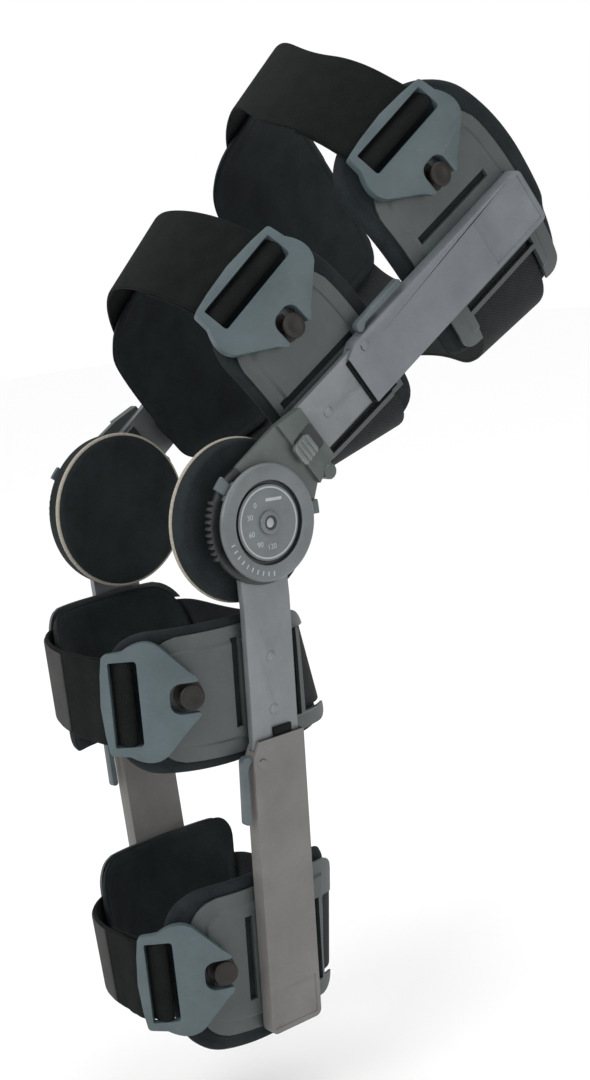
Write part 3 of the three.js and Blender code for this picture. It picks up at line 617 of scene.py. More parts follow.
# %% [markdown]
# A rounded panel on the form, for pads and shells. Its grid is fine near the edges, where the rounding is,
# and coarser between. For every grid point it gives the place along the panel, the level and how far the
# point is from the panel's edge.

# %% The rounded panel
EDGE_STEPS = [0, 0.6, 1.5, 2.8, 4.5, 6.0, 7.0, 8.0, 9.5, 11.0]
BOTH_EDGES = 2 * EDGE_STEPS[-1]


def graded(total, count):
    last = EDGE_STEPS[-1]
    between = [lerp(last, total - last, k / count) for k in range(1, count)]
    return EDGE_STEPS + between + [total - step for step in reversed(EDGE_STEPS)]


def corner_inset(radius, edge):
    lack = max(0, radius - edge)
    return radius - math.sqrt(radius ** 2 - lack ** 2)


class Panel:
    def __init__(self, segment, reach, rise, side, step=6):
        self.segment = segment
        self.side = side
        front, rear, near, far, self.corner, *self.rear_corners, self.drop = reach
        self.near = near + rise
        self.far = far + rise
        self.middle = (self.near + self.far) / 2
        start = angle_at(segment, rear, self.middle)
        self.route = walk(segment, self.middle, start, angle_at(segment, front, self.middle))
        self.total = self.route[-1][1]
        self.lengths = graded(self.total, round((self.total - BOTH_EDGES) / step))
        self.rows = round((far - near - BOTH_EDGES) / step)
        self.angles = [angle_at_length(self.route, length) for length in self.lengths]
        self.size = (len(self.lengths), len(EDGE_STEPS) * 2 + self.rows - 1)

    def spot(self, i, j):
        length = self.lengths[i]
        ahead = length > self.total / 2
        corners = [self.corner] * 2 if ahead else self.rear_corners
        a = self.total - length if ahead else length
        sink = self.drop * (2 * length / self.total - 1) ** 2
        low = self.near + corner_inset(corners[0], a)
        high = self.far - sink - corner_inset(corners[1], a)
        w = low + graded(high - low, self.rows)[j]
        below = w - self.near
        above = self.far - sink - w
        b = min(below, above)
        corner = corners[0] if below < above else corners[1]
        edge = min(a, b)
        if a < corner and b < corner:
            edge = corner - math.hypot(corner - a, corner - b)
        v = form_point(self.segment, self.angles[i], self.middle)[1]
        return self.angles[i], w, v, max(0, edge)

    def surface(self, offset):
        def place(i, j):
            angle, w, v, edge = self.spot(i, j)
            x, y, level = form_point(self.segment, angle, w, offset(v, w, edge))
            return seat(self.segment, SIDES[self.side] * x, y, level)
        return place


test_panel = Panel("thigh", CUFFS["upper_thigh"]["pad"], 0, "lateral")
print("upper thigh pad:", round(test_panel.total), "mm round,", test_panel.size)

# %% [markdown]
# The pads. On the real brace each is foam a little under a centimetre thick in a knitted sleeve, full in
# the middle, drawn in to a rounded edge, with a seam a few millimetres inside it. The pad is laid slightly
# thin, and a cloth simulation with air pressure inside swells its free face. The face under the shell and
# the line of the seam are pinned, and no point may move further than the cap. Where a strap tucks in under
# the shell, the foam is pressed down to make room.

# %% Swelling by cloth
PRESSURE = 4
SIM_FRAMES = 20
SWELL = 1.4
SWELL_CAP = 1.8


def swell(piece, pinned):
    group = piece.vertex_groups.new(name="pinned")
    group.add(pinned, 1.0, "REPLACE")
    start = [point.co.copy() for point in piece.data.vertices]
    choose(piece)
    bpy.ops.object.modifier_add(type="CLOTH")
    cloth = piece.modifiers[-1]
    cloth.settings.vertex_group_mass = group.name
    cloth.settings.use_pressure = True
    cloth.settings.uniform_pressure_force = PRESSURE
    cloth.settings.effector_weights.gravity = 0
    cloth.point_cache.frame_end = SIM_FRAMES
    for frame in range(1, SIM_FRAMES + 1):
        bpy.context.scene.frame_set(frame)
    bpy.ops.object.modifier_apply(modifier=cloth.name)
    longest = 0
    for point, place in zip(piece.data.vertices, start):
        move = point.co - place
        longest = max(longest, move.length / MM)
        point.co = place + move * min(1, SWELL_CAP * MM / max(move.length, 1e-9))
    piece.vertex_groups.clear()
    bpy.context.scene.frame_set(1)
    return longest


print("cloth set for", SIM_FRAMES, "frames")

# %% Pads
PAD_ROUND = 4.5
SEAM_IN = 7
SEAM_DEPTH = 0.45
SEAM_HALF = 0.7
SEAM_REACH = 0.6
WANDER = 0.3
WANDER_SIZE = 16
BED_AHEAD = 12
BED_DEPTH = 3.4
BED_RAMP = 3


def pad_piece(name, side):
    cuff = CUFFS[name]
    segment = cuff["segment"]
    rise = 0 if side == "lateral" else max(0, cuff["rise"]) * 0.6
    panel = Panel(segment, cuff["pad"], rise, side)
    rear_bed = cuff["rear_slot"] - BED_AHEAD
    front_bed = cuff["front_slot"] + BED_AHEAD

    def pressed(v):
        depth = smoothstep(v, rear_bed, rear_bed + BED_RAMP)
        if side == "medial":
            depth = max(depth, smoothstep(-v, -front_bed, BED_RAMP - front_bed))
        return BED_DEPTH * depth

    def fullness(edge):
        t = min(1, edge / PAD_ROUND)
        return 0.2 + 0.8 * math.sqrt(1 - (1 - t) ** 2)

    def seam(edge):
        return SEAM_DEPTH * math.exp(-((edge - SEAM_IN) / SEAM_HALF) ** 2)

    def wander(v, w):
        return WANDER * noise.noise(Vector((v / WANDER_SIZE, w / WANDER_SIZE, len(name))))

    def outer(v, w, edge):
        top = -PAD_THICK / 2 + PAD_THICK / 2 * fullness(edge)
        return top - pressed(v) - seam(edge) + min(0, wander(v, w))

    def inner(v, w, edge):
        return -PAD_THICK / 2 - (PAD_THICK / 2 - SWELL) * fullness(edge) + seam(edge) + wander(v, w)

    node = f"{name}_{side}_pad"
    piece = laid_wall(node + "_foam", *panel.size, panel.surface(outer), panel.surface(inner))
    columns, rows = panel.size
    pinned = list(range(columns * rows))
    for i in range(columns):
        for j in range(rows):
            if abs(panel.spot(i, j)[3] - SEAM_IN) < SEAM_REACH:
                pinned.append(columns * rows + j * columns + i)
    print(node, "swells up to", round(swell(piece, pinned), 1), "mm before the cap")
    modify(piece, "SUBSURF", levels=1, render_levels=1)
    smooth(piece)
    dress(piece, pad_cover, segment, "pad", node)
    return piece


pads = [pad_piece(name, side) for name in CUFFS for side in SIDES]
print("pads:", len(pads), "faces in one:", len(pads[0].data.polygons))

# %% [markdown]
# Round pieces are turned, as on a lathe: a wire profile is spun round the hinge's axis. The profile gives
# a radius and an x for each corner, and a closed profile leaves a bore.

# %% Turning


def wire(name, points, closed):
    circle = {"vertices": len(points), "radius": 1, "fill_type": "NOTHING"}
    piece = added(name, bpy.ops.mesh.primitive_circle_add, **circle)
    for vertex, point in zip(piece.data.vertices, points):
        vertex.co = Vector(point) * MM
    if not closed:
        edit(piece)
        bpy.ops.mesh.select_all(action="DESELECT")
        leave_edit()
        for edge in piece.data.edges:
            edge.select = set(edge.vertices) == {0, len(points) - 1}
        bpy.ops.object.mode_set(mode="EDIT")
        bpy.ops.mesh.delete(type="EDGE")
        leave_edit()
    return piece


def turned(name, profile, sides=96, closed=False):
    piece = wire(name, [(x, radius, 0) for radius, x in profile], closed)
    edit(piece)
    bpy.ops.mesh.spin(steps=sides, angle=2 * math.pi, center=(0, 0, 0), axis=(1, 0, 0))
    leave_edit()
    face_out(piece)
    return piece


def arc(x, y, radius, start, end, steps=8):
    spots = []
    for k in range(steps + 1):
        angle = math.radians(lerp(start, end, k / steps))
        spots.append((x + radius * math.cos(angle), y + radius * math.sin(angle)))
    return spots


def to_segment(segment, side):
    def place(x, v, w):
        return seat(segment, SIDES[side] * x / MM, v / MM, w / MM)
    return place


print("lathe ready")

# %% [markdown]
# The round pads beside the knee keep the hinge off the bone. Each is a thick dished disc under a black
# cover, turned from one profile, with a pale bead of the lining round its inner edge.

# %% Round knee pads
CONDYLE_OUT = 65.4
CONDYLE_RADIUS = 45.5
CONDYLE_THICK = 13
COVER_RADIUS = CONDYLE_RADIUS - 0.8
BEAD = 1.3


def condyle_piece(side):
    inside = CONDYLE_OUT - CONDYLE_THICK
    profile = [(0, CONDYLE_OUT), (COVER_RADIUS - 4, CONDYLE_OUT)]
    profile += arc(COVER_RADIUS - 2, CONDYLE_OUT - 2, 2, 90, 0, 4)
    profile += arc(COVER_RADIUS - 4, inside + 4, 4, 0, -90, 5)
    profile += [(36, inside), (30, inside + 0.5), (20, inside + 1.8), (8, inside + 2.8), (0, inside + 3)]
    pad = turned(f"{side}_condyle_pad_cover", profile)
    modify(pad, "SUBSURF", levels=1, render_levels=1)
    smooth(pad)
    ring = arc(CONDYLE_RADIUS - BEAD, inside + 3, BEAD, 0, 324, 9)
    bead = turned(f"{side}_condyle_pad_rim", ring, 96, True)
    smooth(bead)
    for piece, material in ((pad, pad_cover), (bead, foam_edge)):
        move_points(piece, to_segment("thigh", side))
        face_out(piece)
        dress(piece, material, "thigh", "pad")
    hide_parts(f"{side}_condyle_pad")
    return pad


knee_pads = [condyle_piece(side) for side in SIDES]
print("knee pads:", [pad.name for pad in knee_pads])

# %% [markdown]
# The shells are moulded plastic a few millimetres thick. The moulding steps down round the edge, which
# stiffens it, slots let the straps through, and a notch in the rear edge leaves the rear strap free behind
# a thin strip. The panel is laid first and its edges are rounded. Then the slots and the notch are cut
# with boxes set square to the form, as a router would cut them.

# %% Boxes to cut with


def cutting_box(segment, side, v, w, size, behind=0, further=0):
    box = added("cutter", bpy.ops.mesh.primitive_cube_add, size=1)
    angle = angle_at(segment, v, w)
    low = Vector(form_point(segment, angle, w, 0))
    out = Vector(form_point(segment, angle, w, 1)) - low
    rearward = Vector((-out.y, out.x, 0))
    along = Vector((bar_face(segment, w + 1) - bar_face(segment, w), 0, 1))
    deep, wide, tall = size

    def place(a, b, c):
        spot = low + out * (a * deep) + rearward * (b * wide + behind)
        spot += along * (c * tall + further / 2)
        return seat(segment, SIDES[side] * spot.x, spot.y, spot.z)

    move_points(box, place)
    return box


print("cutters ready")

# %% Shells
SLOT_WIDTH = 5
SLOT_SPARE = 3.5
SLOT_DEPTH = 14
STRIP = 3
NOTCH_SPARE = 2
NOTCH_REACH = 60
STEP_BAND = 8.5
STEP_FALL = 1.2
STEP_SOFT = 0.5


def shell_cutters(cuff, side, rise):
    segment = cuff["segment"]
    strap = SEGMENTS[segment]["strap"]
    rear = cuff["rear_level"] + rise
    slot = (SLOT_DEPTH, SLOT_WIDTH, strap + SLOT_SPARE)
    further = cuff.get("notch_far", 0)
    notch = (NOTCH_REACH, NOTCH_REACH, strap + NOTCH_SPARE + further)
    behind = SLOT_WIDTH / 2 + STRIP + NOTCH_REACH / 2
    return [
        cutting_box(segment, side, cuff["rear_slot"], rear, slot),
        cutting_box(segment, side, cuff["rear_slot"], rear, notch, behind, further),
        cutting_box(segment, side, cuff["front_slot"], cuff["level"] + rise, slot),
    ]


def shell_piece(name, side):
    cuff = CUFFS[name]
    segment = cuff["segment"]
    rise = 0 if side == "lateral" else cuff["rise"]
    panel = Panel(segment, cuff["shell"], rise, side, 5)

    def outer(v, w, edge):
        raised = smoothstep(edge, STEP_BAND - STEP_SOFT, STEP_BAND + STEP_SOFT)
        return GAP + SHELL_THICK - STEP_FALL * (1 - raised)

    def inner(v, w, edge):
        return GAP

    node = f"{name}_{side}_shell"
    piece = laid_wall(node + "_moulding", *panel.size, panel.surface(outer), panel.surface(inner))
    round_edges(piece, 0.5)
    cut_away(piece, *shell_cutters(cuff, side, rise))
    smooth(piece, 32)
    dress(piece, shell_grey, segment, "shell", node)
    return piece


shells = [shell_piece(name, side) for name in CUFFS for side in SIDES]
print("shells:", len(shells), "faces in one:", len(shells[0].data.polygons))

# %% [markdown]
# A stud on each outer shell holds the buckle. It is a turned button: a foot, a short stem and a rounded cap
# with a small dimple. Its stem starts in the shell's wall, and it points straight out of the form.

# %% Studs


def stud_piece(name):
    cuff = CUFFS[name]
    segment = cuff["segment"]
    angle = angle_at(segment, cuff["stud"], cuff["level"])
    low = Vector(form_point(segment, angle, cuff["level"], 0))
    out = (Vector(form_point(segment, angle, cuff["level"], 1)) - low).normalized()
    across = out.cross(Vector((0, 0, 1)))
    profile = [(0, 1.2), (8.2, 1.2), (8.2, 3.2), (4.5, 3.5), (4.5, 9.4), (6.6, 9.9)]
    profile += arc(5.9, 11.4, 1.1, 0, 80, 4)
    profile += [(4.2, 12.6), (3.0, 12.3), (1.6, 12.0), (0, 11.9)]
    piece = turned(f"{name}_stud", profile, 48)
    smooth(piece, 50)

    def place(x, y, z):
        spot = low + (out * x + across * y + Vector((0, 0, 1)) * z) / MM
        return seat(segment, *spot)

    move_points(piece, place)
    face_out(piece)
    return dress(piece, stud_grey, segment, "shell")


studs = [stud_piece(name) for name in CUFFS]
print("studs:", len(studs))

# %% [markdown]
# The buckles are smooth moulded plates: a wide bar that carries the strap, a window, and a body that
# narrows to two horns round the stud. The outline is drawn flat and filled, extruded to its thickness,
# cut across every few millimetres so that it can bend, and then bent round the leg with its strap.

# %% The buckle's outline
BUCKLE_THICK = 5
BUCKLE_BEND = 120
BUCKLE_LIFT = 6
BUCKLE_TANGENT = -18
BUCKLE_FRONT = -42.5
CROSSBAR_X = -31.8
CROSSBAR_H = 0.8
CROSSBAR_RADIUS = 1.8
CROSSBAR_PAST = 2.5
BUCKLE_CUTS = range(-41, 6, 4)


def bow(a, b, c, steps=8):
    spots = []
    for k in range(1, steps + 1):
        t = k / steps
        p = Vector(a).lerp(Vector(b), t)
        q = Vector(b).lerp(Vector(c), t)
        spots.append(tuple(p.lerp(q, t)))
    return spots


def buckle_outline(strap):
    front = BUCKLE_FRONT
    front_half = strap / 2 + 4.5
    half = strap / 2 + 9.5
    corner = (front, -front_half + 2)
    shoulder = (-32, -front_half - 1)
    lower = [(front - 2.6, 0), (front - 1.4, -front_half * 0.6), corner]
    lower += bow(corner, (front + 0.3, -front_half), (-40, -front_half - 0.1), 4)
    lower += [shoulder]
    lower += bow(shoulder, (-20, -half - 4), (-12, -half + 3))
    lower += [(2, -14.5)]
    lower += bow((2, -14.5), (6.5, -11), (6.5, -9.6), 4)
    lower += [(6.2, -8.9), (5.2, -8.5)]
    lower += arc(-3, -2.5, 6, 270, 180)
    upper = [(x, -y) for x, y in reversed(lower[1:])]
    return lower + upper


def buckle_window(strap):
    half = strap / 2 + 0.15
    corners = arc(-26.3, half - 2, 2, 90, 0, 4) + arc(-26.3, 2 - half, 2, 0, -90, 4)
    return corners + [(-38.6, -half), (-39.3, 0.7 - half), (-39.3, half - 0.7), (-38.6, half)]


print("buckle corners:", len(buckle_outline(56)))

# %% Filling an outline into a plate


def plate(name, outlines, low, high):
    piece = None
    for outline in outlines:
        ring = wire(name, [(x, y, low) for x, y in outline], True)
        piece = ring if piece is None else join_into(piece, ring)
    edit(piece)
    bpy.ops.mesh.fill(use_beauty=True)
    bpy.ops.mesh.extrude_region_move(TRANSFORM_OT_translate={"value": (0, 0, (high - low) * MM)})
    leave_edit()
    face_out(piece)
    return piece


def cut_across(piece, places, axis):
    for place in places:
        edit(piece)
        bpy.ops.mesh.bisect(plane_co=Vector(axis) * place * MM, plane_no=axis)
        leave_edit()


print("plates ready")

# %% Buckles


def buckle_frame(name):
    cuff = CUFFS[name]
    segment = cuff["segment"]
    level = cuff["level"]
    ahead = walk(segment, level, angle_at(segment, cuff["stud"], level), math.pi / 2)
    angle = angle_at_length(ahead, -BUCKLE_TANGENT)
    seat_x, seat_v, w = form_point(segment, angle, level, BUCKLE_LIFT)
    out_x, out_v, w = form_point(segment, angle, level, BUCKLE_LIFT + 1)
    nx = out_x - seat_x
    nv = out_v - seat_v
    lean = lean_at(segment, angle, level)

    def spot(x, h):
        turn = (x - BUCKLE_TANGENT) / BUCKLE_BEND
        along = (BUCKLE_BEND + h) * math.sin(turn)
        up = (BUCKLE_BEND + h) * math.cos(turn) - BUCKLE_BEND
        return seat_x - nv * along + nx * up, seat_v + nx * along + nv * up, *lean

    return spot, ahead


def buckle_piece(name):
    cuff = CUFFS[name]
    segment = cuff["segment"]
    strap = SEGMENTS[segment]["strap"]
    spot, ahead = buckle_frame(name)
    piece = plate(f"{name}_buckle_moulding", [buckle_outline(strap), buckle_window(strap)], 0, BUCKLE_THICK)
    cut_across(piece, BUCKLE_CUTS, (1, 0, 0))
    end = strap / 2 + CROSSBAR_PAST
    rod = [(0, -end), (CROSSBAR_RADIUS, -end), (CROSSBAR_RADIUS, end), (0, end)]
    crossbar = turned(f"{name}_crossbar", rod, 24)

    def lie_flat(x, y, z):
        return Vector((y + CROSSBAR_X * MM, x, z + CROSSBAR_H * MM))

    move_points(crossbar, lie_flat)

    def bend(a, b, h):
        x, v, lean_x, lean_v = spot(a / MM, h / MM)
        b = b / MM
        return seat(segment, x + lean_x * b, v + lean_v * b, cuff["level"] + b)

    for part in (piece, crossbar):
        move_points(part, bend)
        face_out(part)
    round_edges(piece, 1.1, 3, 40)
    join_into(piece, crossbar)
    smooth(piece, 45)
    return dress(piece, buckle_grey, segment, "buckle", f"{name}_buckle")


buckles = [buckle_piece(name) for name in CUFFS]
print("buckles:", len(buckles), "faces in one:", len(buckles[0].data.polygons))

# %% [markdown]
# The front straps. Each starts under the inner shell, comes round the front of the leg, goes under the
# buckle's bar, round the crossbar and back under itself, where hook tape holds it. Webbing doesn't stretch
# or hang here, so it is laid along that way directly: a list of points, rounded by cutting its corners.

# %% The strap's way
STRAP_THICK = 2
STRAP_TUCK = 2.6
SLOT_PASS = 5
FRONT_STEP = 6
LIFT_FROM = 0.35
LIFT_TO = 0.9
BAR_AHEAD = 12
WAY_IN = [(-45.9, -1.9), (-40.9, -1.65), (-38.4, -1.4), (-36.4, 0.9)]
WAY_OUT = [(-36.4, -3.3), (-40.9, -4.5)]
TAIL = [8, 17, 26, 35]


def cut_corners(points, times=2):
    for _ in range(times):
        fresh = [points[0]]
        for a, b in zip(points, points[1:]):
            fresh.append(tuple(lerp(p, q, 0.25) for p, q in zip(a, b)))
            fresh.append(tuple(lerp(p, q, 0.75) for p, q in zip(a, b)))
        points = fresh + [points[-1]]
    return points


def strap_point(segment, angle, level, offset):
    return *form_point(segment, angle, level, offset)[:2], *lean_at(segment, angle, level)


def front_way(name):
    cuff = CUFFS[name]
    segment = cuff["segment"]
    level = cuff["level"]
    spot, ahead = buckle_frame(name)
    low = GAP + STRAP_THICK / 2
    high = low + STRAP_THICK + GAP
    tucked = STRAP_THICK / 2 - STRAP_TUCK
    begin = math.pi - angle_at(segment, cuff["front_slot"] + SLOT_PASS, level + cuff["rise"])
    route = walk(segment, level, begin, angle_at_length(ahead, BAR_AHEAD - BUCKLE_FRONT))
    total = route[-1][1]
    count = round(total / FRONT_STEP)
    path = []
    for k in range(count + 1):
        length = total * k / count
        lift = smoothstep(length, total * LIFT_FROM, total * LIFT_TO)
        path.append(strap_point(segment, angle_at_length(route, length), level, lerp(tucked, high, lift)))
    path += [spot(x, h) for x, h in WAY_IN]
    loop = CROSSBAR_RADIUS + GAP + STRAP_THICK / 2
    for degrees in range(120, -121, -20):
        turn = math.radians(degrees)
        path.append(spot(CROSSBAR_X + loop * math.cos(turn), CROSSBAR_H + loop * math.sin(turn)))
    path += [spot(x, h) for x, h in WAY_OUT]
    for further in TAIL:
        path.append(strap_point(segment, angle_at_length(ahead, further - BUCKLE_FRONT), level, low))
    return cut_corners(path)


print("points along the upper thigh strap:", len(front_way("upper_thigh")))

# %% [markdown]
# The way becomes a strap by giving it width and thickness. The edges are a little thinner than the middle,
# as webbing's are, and the UV map is set in metres along and across, so that stitches and weave keep
# their scale.

# %% Laying a strap
STRAP_EDGE = 1.3


def across_steps(width):
    steps = [0, 0.35, 0.8, 1.4, 2.6, 4.2]
    middle = [lerp(steps[-1], width - steps[-1], k / 6) for k in range(1, 6)]
    return steps + middle + [width - step for step in reversed(steps)]


def half_thick(step, width):
    t = min(1, min(step, width - step) / STRAP_EDGE)
    return STRAP_THICK / 2 * (0.55 + 0.45 * math.sqrt(1 - (1 - t) ** 2))


def tilt(x, side):
    return smoothstep(-x, -side * 0.4, side * 0.6)


def path_normals(path):
    normals = []
    for k in range(len(path)):
        before = path[max(0, k - 1)]
        after = path[min(len(path) - 1, k + 1)]
        n = Vector((after[1] - before[1], before[0] - after[0]))
        normals.append(n.normalized())
    return normals


def path_lengths(path):
    lengths = [0]
    for a, b in zip(path, path[1:]):
        lengths.append(lengths[-1] + math.hypot(b[0] - a[0], b[1] - a[1]))
    return lengths


def lay_strap(node, material, segment, lengths, steps, face):
    piece = laid_wall(node + "_webbing", len(lengths), len(steps), face(1), face(-1))
    for loop in piece.data.uv_layers.active.data:
        i = round(loop.uv.x * (len(lengths) - 1))
        j = round(loop.uv.y * (len(steps) - 1))
        loop.uv = (lengths[i] * MM, steps[j] * MM)
    smooth(piece)
    return dress(piece, material, segment, "strap", node)


print("strap edge thickness:", half_thick(0, 50) * 2, "mm")

# %% [markdown]
# On the two calf straps a tab of tape shows at the front of the leg. It is a thin rounded patch that lies
# on the strap, so it is laid along the same way, a little narrower and just above the strap's face.

# %% Strap tabs
TAB_FROM = 92
TAB_TO = 138
TAB_INSET = 1.6
TAB_THICK = 0.9
TAB_SUNK = 0.1
TAB_STEP = 1.5


def strap_tab(name, path, layer):
    cuff = CUFFS[name]
    segment = cuff["segment"]
    width = SEGMENTS[segment]["strap"] - 2 * TAB_INSET
    middle = SEGMENTS[segment]["middle"]
    turns = [math.degrees(math.atan2(middle - v, x)) for x, v, lean_x, lean_v in path]
    loop_start = max(range(len(path)), key=lambda k: path[k][0])
    chosen = [k for k in range(loop_start) if TAB_FROM < turns[k] < TAB_TO]
    steps = across_steps(width)

    def face(sign):
        def place(i, j):
            ends = min(i, len(chosen) - 1 - i) * TAB_STEP
            thin = half_thick(min(steps[j], width - steps[j], ends), width) / (STRAP_THICK / 2)
            reach = STRAP_THICK / 2 + (TAB_THICK * thin if sign > 0 else -TAB_SUNK)
            return layer(chosen[i], steps[j] + TAB_INSET, reach)
        return place

    piece = laid_wall(f"{name}_strap_tab", len(chosen), len(steps), face(1), face(-1))
    smooth(piece)
    return dress(piece, tab_tape, segment, "strap")


print("tabs go on:", [name for name in CUFFS if CUFFS[name]["segment"] == "calf"])

# %% Front straps


def front_strap(name):
    cuff = CUFFS[name]
    segment = cuff["segment"]
    width = SEGMENTS[segment]["strap"]
    path = front_way(name)
    normals = path_normals(path)
    lengths = path_lengths(path)
    steps = across_steps(width)
    side = section(segment, cuff["level"])[0]

    def layer(i, step, reach):
        x, v, lean_x, lean_v = path[i]
        along = cuff["rise"] * tilt(x, side) + step - width / 2
        x += normals[i].x * reach + lean_x * along
        v += normals[i].y * reach + lean_v * along
        return seat(segment, x, v, cuff["level"] + along)

    def face(sign):
        return lambda i, j: layer(i, steps[j], sign * half_thick(steps[j], width))

    node = f"{name}_front_strap"
    piece = lay_strap(node, strap_cloth, segment, lengths, steps, face)
    tabs = [strap_tab(name, path, layer)] if segment == "calf" else []


for name in CUFFS:
    front_strap(name)

# %% [markdown]
# The rear straps are simpler: webbing from slot to slot round the back of the leg, pulled flat.

# %% Rear straps
REAR_STEP = 3


def rear_strap(name):
    cuff = CUFFS[name]
    segment = cuff["segment"]
    width = SEGMENTS[segment]["strap"]
    level = cuff["rear_level"]
    begin = angle_at(segment, cuff["rear_slot"] - SLOT_PASS, level)
    route = walk(segment, level, begin, -math.pi - begin)
    count = round(route[-1][1] / REAR_STEP)
    lengths = [route[-1][1] * k / count for k in range(count + 1)]
    angles = [angle_at_length(route, length) for length in lengths]
    steps = across_steps(width)
    side = section(segment, level)[0]
    middle = STRAP_THICK / 2 - STRAP_TUCK

    def face(sign):
        def place(i, j):
            w = level + cuff["rise"] * tilt(side * math.cos(angles[i]), side) + steps[j] - width / 2
            offset = middle + sign * half_thick(steps[j], width)
            return seat(segment, *form_point(segment, angles[i], w, offset))
        return place

    node = f"{name}_rear_strap"
    piece = lay_strap(node, webbing, segment, lengths, steps, face)
    flat = (width * MM, lengths[-1] * MM)
    print(node, "cut", [round(n, 3) for n in flat])


for name in CUFFS:
    rear_strap(name)

# %% [markdown]
# Bars, sleeves, levers and the flat hinge parts already have the right outline as solids. A copy of each
# has its loose triangles merged, its flat faces made whole, and every sharp edge rounded by a bevel, as a
# file or a mould would leave it.

# %% Softened copies of the hard solids
SOLID_WELD = 0.00001
FLAT_WITHIN = 1.5


def soft_solid(node, suffix, width, material, body, slot, *tools):
    bpy.ops.object.select_all(action="DESELECT")
    piece = bpy.data.objects.new(f"{node}_{suffix}", nodes[node].data.copy())
    bpy.context.collection.objects.link(piece)
    edit(piece)
    bpy.ops.mesh.customdata_custom_splitnormals_clear()
    bpy.ops.mesh.remove_doubles(threshold=SOLID_WELD)
    bpy.ops.mesh.dissolve_limited(angle_limit=math.radians(FLAT_WITHIN))
    leave_edit()
    if tools:
        cut_away(piece, *tools)
    round_edges(piece, width, 2, 30)
    smooth(piece, 40)
    return dress(piece, material, body, slot, node)


def second_finish(piece, material, chosen):
    piece.data.materials.append(material)
    for face in piece.data.polygons:
        if chosen(face):
            face.material_index = len(piece.data.materials) - 1


for side in SIDES:
    for segment in SEGMENTS:
        soft_solid(f"{side}_{segment}_bar", "metal", 0.5, bar_grey, segment, "bar")
        lever = f"{side}_{segment}_lever"
        soft_solid(lever, "moulding", 0.7, lever_grey, lever, "sleeve")
print("bars and levers rounded")

# %% [markdown]
# The sleeves slide over the bars. Near its far end each has a shallow sunk panel, cut here with a box laid
# along the bar, and the faces just inside its open end are coloured dark as painted shade in the mouth.

# %% Sleeves
SLEEVE_FINISH = {"thigh": thigh_grey, "calf": calf_grey}
SLEEVE_REACH = {"thigh": (102, 257), "calf": (120, 294)}
PANEL_FROM = {"thigh": 213, "calf": 268}
SLEEVE_PROUD = 2.5
PANEL_DEPTH = 0.8
PANEL_HALF = 15.5
PANEL_END = 3
PANEL_CLEAR = 5
MOUTH_DEPTH = 12
MOUTH_FACING = -0.6


def along_bar(segment, side):
    shape = SEGMENTS[segment]
    flare = math.radians(shape["flare"])

    def place(out, v, w):
        length = (w - shape["bend"]) / math.cos(flare)
        x = BAR_FACE + out * math.cos(flare) + length * math.sin(flare)
        return seat(segment, SIDES[side] * x, shape["bar_v"] + v, w - out * math.sin(flare))

    return place


def bar_box(name, segment, side, low, high):
    box = added(name, bpy.ops.mesh.primitive_cube_add, size=1)
    place = along_bar(segment, side)

    def corner(*at):
        return place(*(lerp(a, b, t + 0.5) for a, b, t in zip(low, high, at)))

    move_points(box, corner)
    face_out(box)
    return box


def sleeve_piece(segment, side):
    near, far = SLEEVE_REACH[segment]
    low = (SLEEVE_PROUD - PANEL_DEPTH, -PANEL_HALF, PANEL_FROM[segment])
    high = (SLEEVE_PROUD + PANEL_CLEAR, PANEL_HALF, far - PANEL_END)
    panel = bar_box("panel_tool", segment, side, low, high)
    node = f"{side}_{segment}_sleeve"
    piece = soft_solid(node, "moulding", 0.6, SLEEVE_FINISH[segment], segment, "sleeve", panel)
    place = along_bar(segment, side)
    mouth = place(0, 0, near)
    inward = (place(0, 0, near + 1) - mouth).normalized()

    def painted_mouth_shade(face):
        depth = (face.center - mouth).dot(inward) / MM
        return face.normal.dot(inward) < MOUTH_FACING and depth < MOUTH_DEPTH

    # Painted shade: the faces just inside the open end take the dark finish.
    second_finish(piece, dark_grey_and_shade, painted_mouth_shade)
    return piece


sleeves = [sleeve_piece(segment, side) for side in SIDES for segment in SEGMENTS]
print("sleeves:", len(sleeves), "faces in one:", len(sleeves[0].data.polygons))

# %% [markdown]
# Where the calf bar goes into its sleeve, a small black block on the bar marks the notch of the sleeve's
# catch, and its black is painted shade in that notch. At the thigh sleeve's mouth a black band round the
# bar is painted shade in the gap. Both are boxes with their edges rounded.

# %% Painted shade at the sleeve mouths
MOUTH_SHADE_BLOCKS = [
    {"name": "catch", "bar": "calf", "low": (0.05, -2.5, 115), "high": (1.3, 10.5, 119.8), "edge": 0.3},
    {"name": "seal", "bar": "thigh", "low": (-4.5, -12.5, 100), "high": (1.2, 16.6, 102.2), "edge": 0.4},
]
for side in SIDES:
    for block in MOUTH_SHADE_BLOCKS:
        name = f"{side}_sleeve_{block['name']}"
        piece = bar_box(name, block["bar"], side, block["low"], block["high"])
        round_edges(piece, block["edge"])
        smooth(piece, 40)
        dress(piece, mouth_shade_black, block["bar"], "sleeve")
print("catches and seals made")

# %% [markdown]
# The flat hinge parts. The cover is dark on the lower side, where its edge is toothed, and otherwise near
# the grey of the bar it clamps. A cut across it parts the two tones. A thin dark plate on the neck under
# the lock slide is painted shade in the recess round the slide.

# %% The flat hinge parts
NECK_FROM = 8
NECK_OUT = 80.0
SLIDE_SHADE = ((-17, 42.8), (-1, 59.2))
SLIDE_SHADE_CORNER = 2


def along_thigh(spot):
    return (spot.y * math.sin(FLEXION) + spot.z * math.cos(FLEXION)) / MM
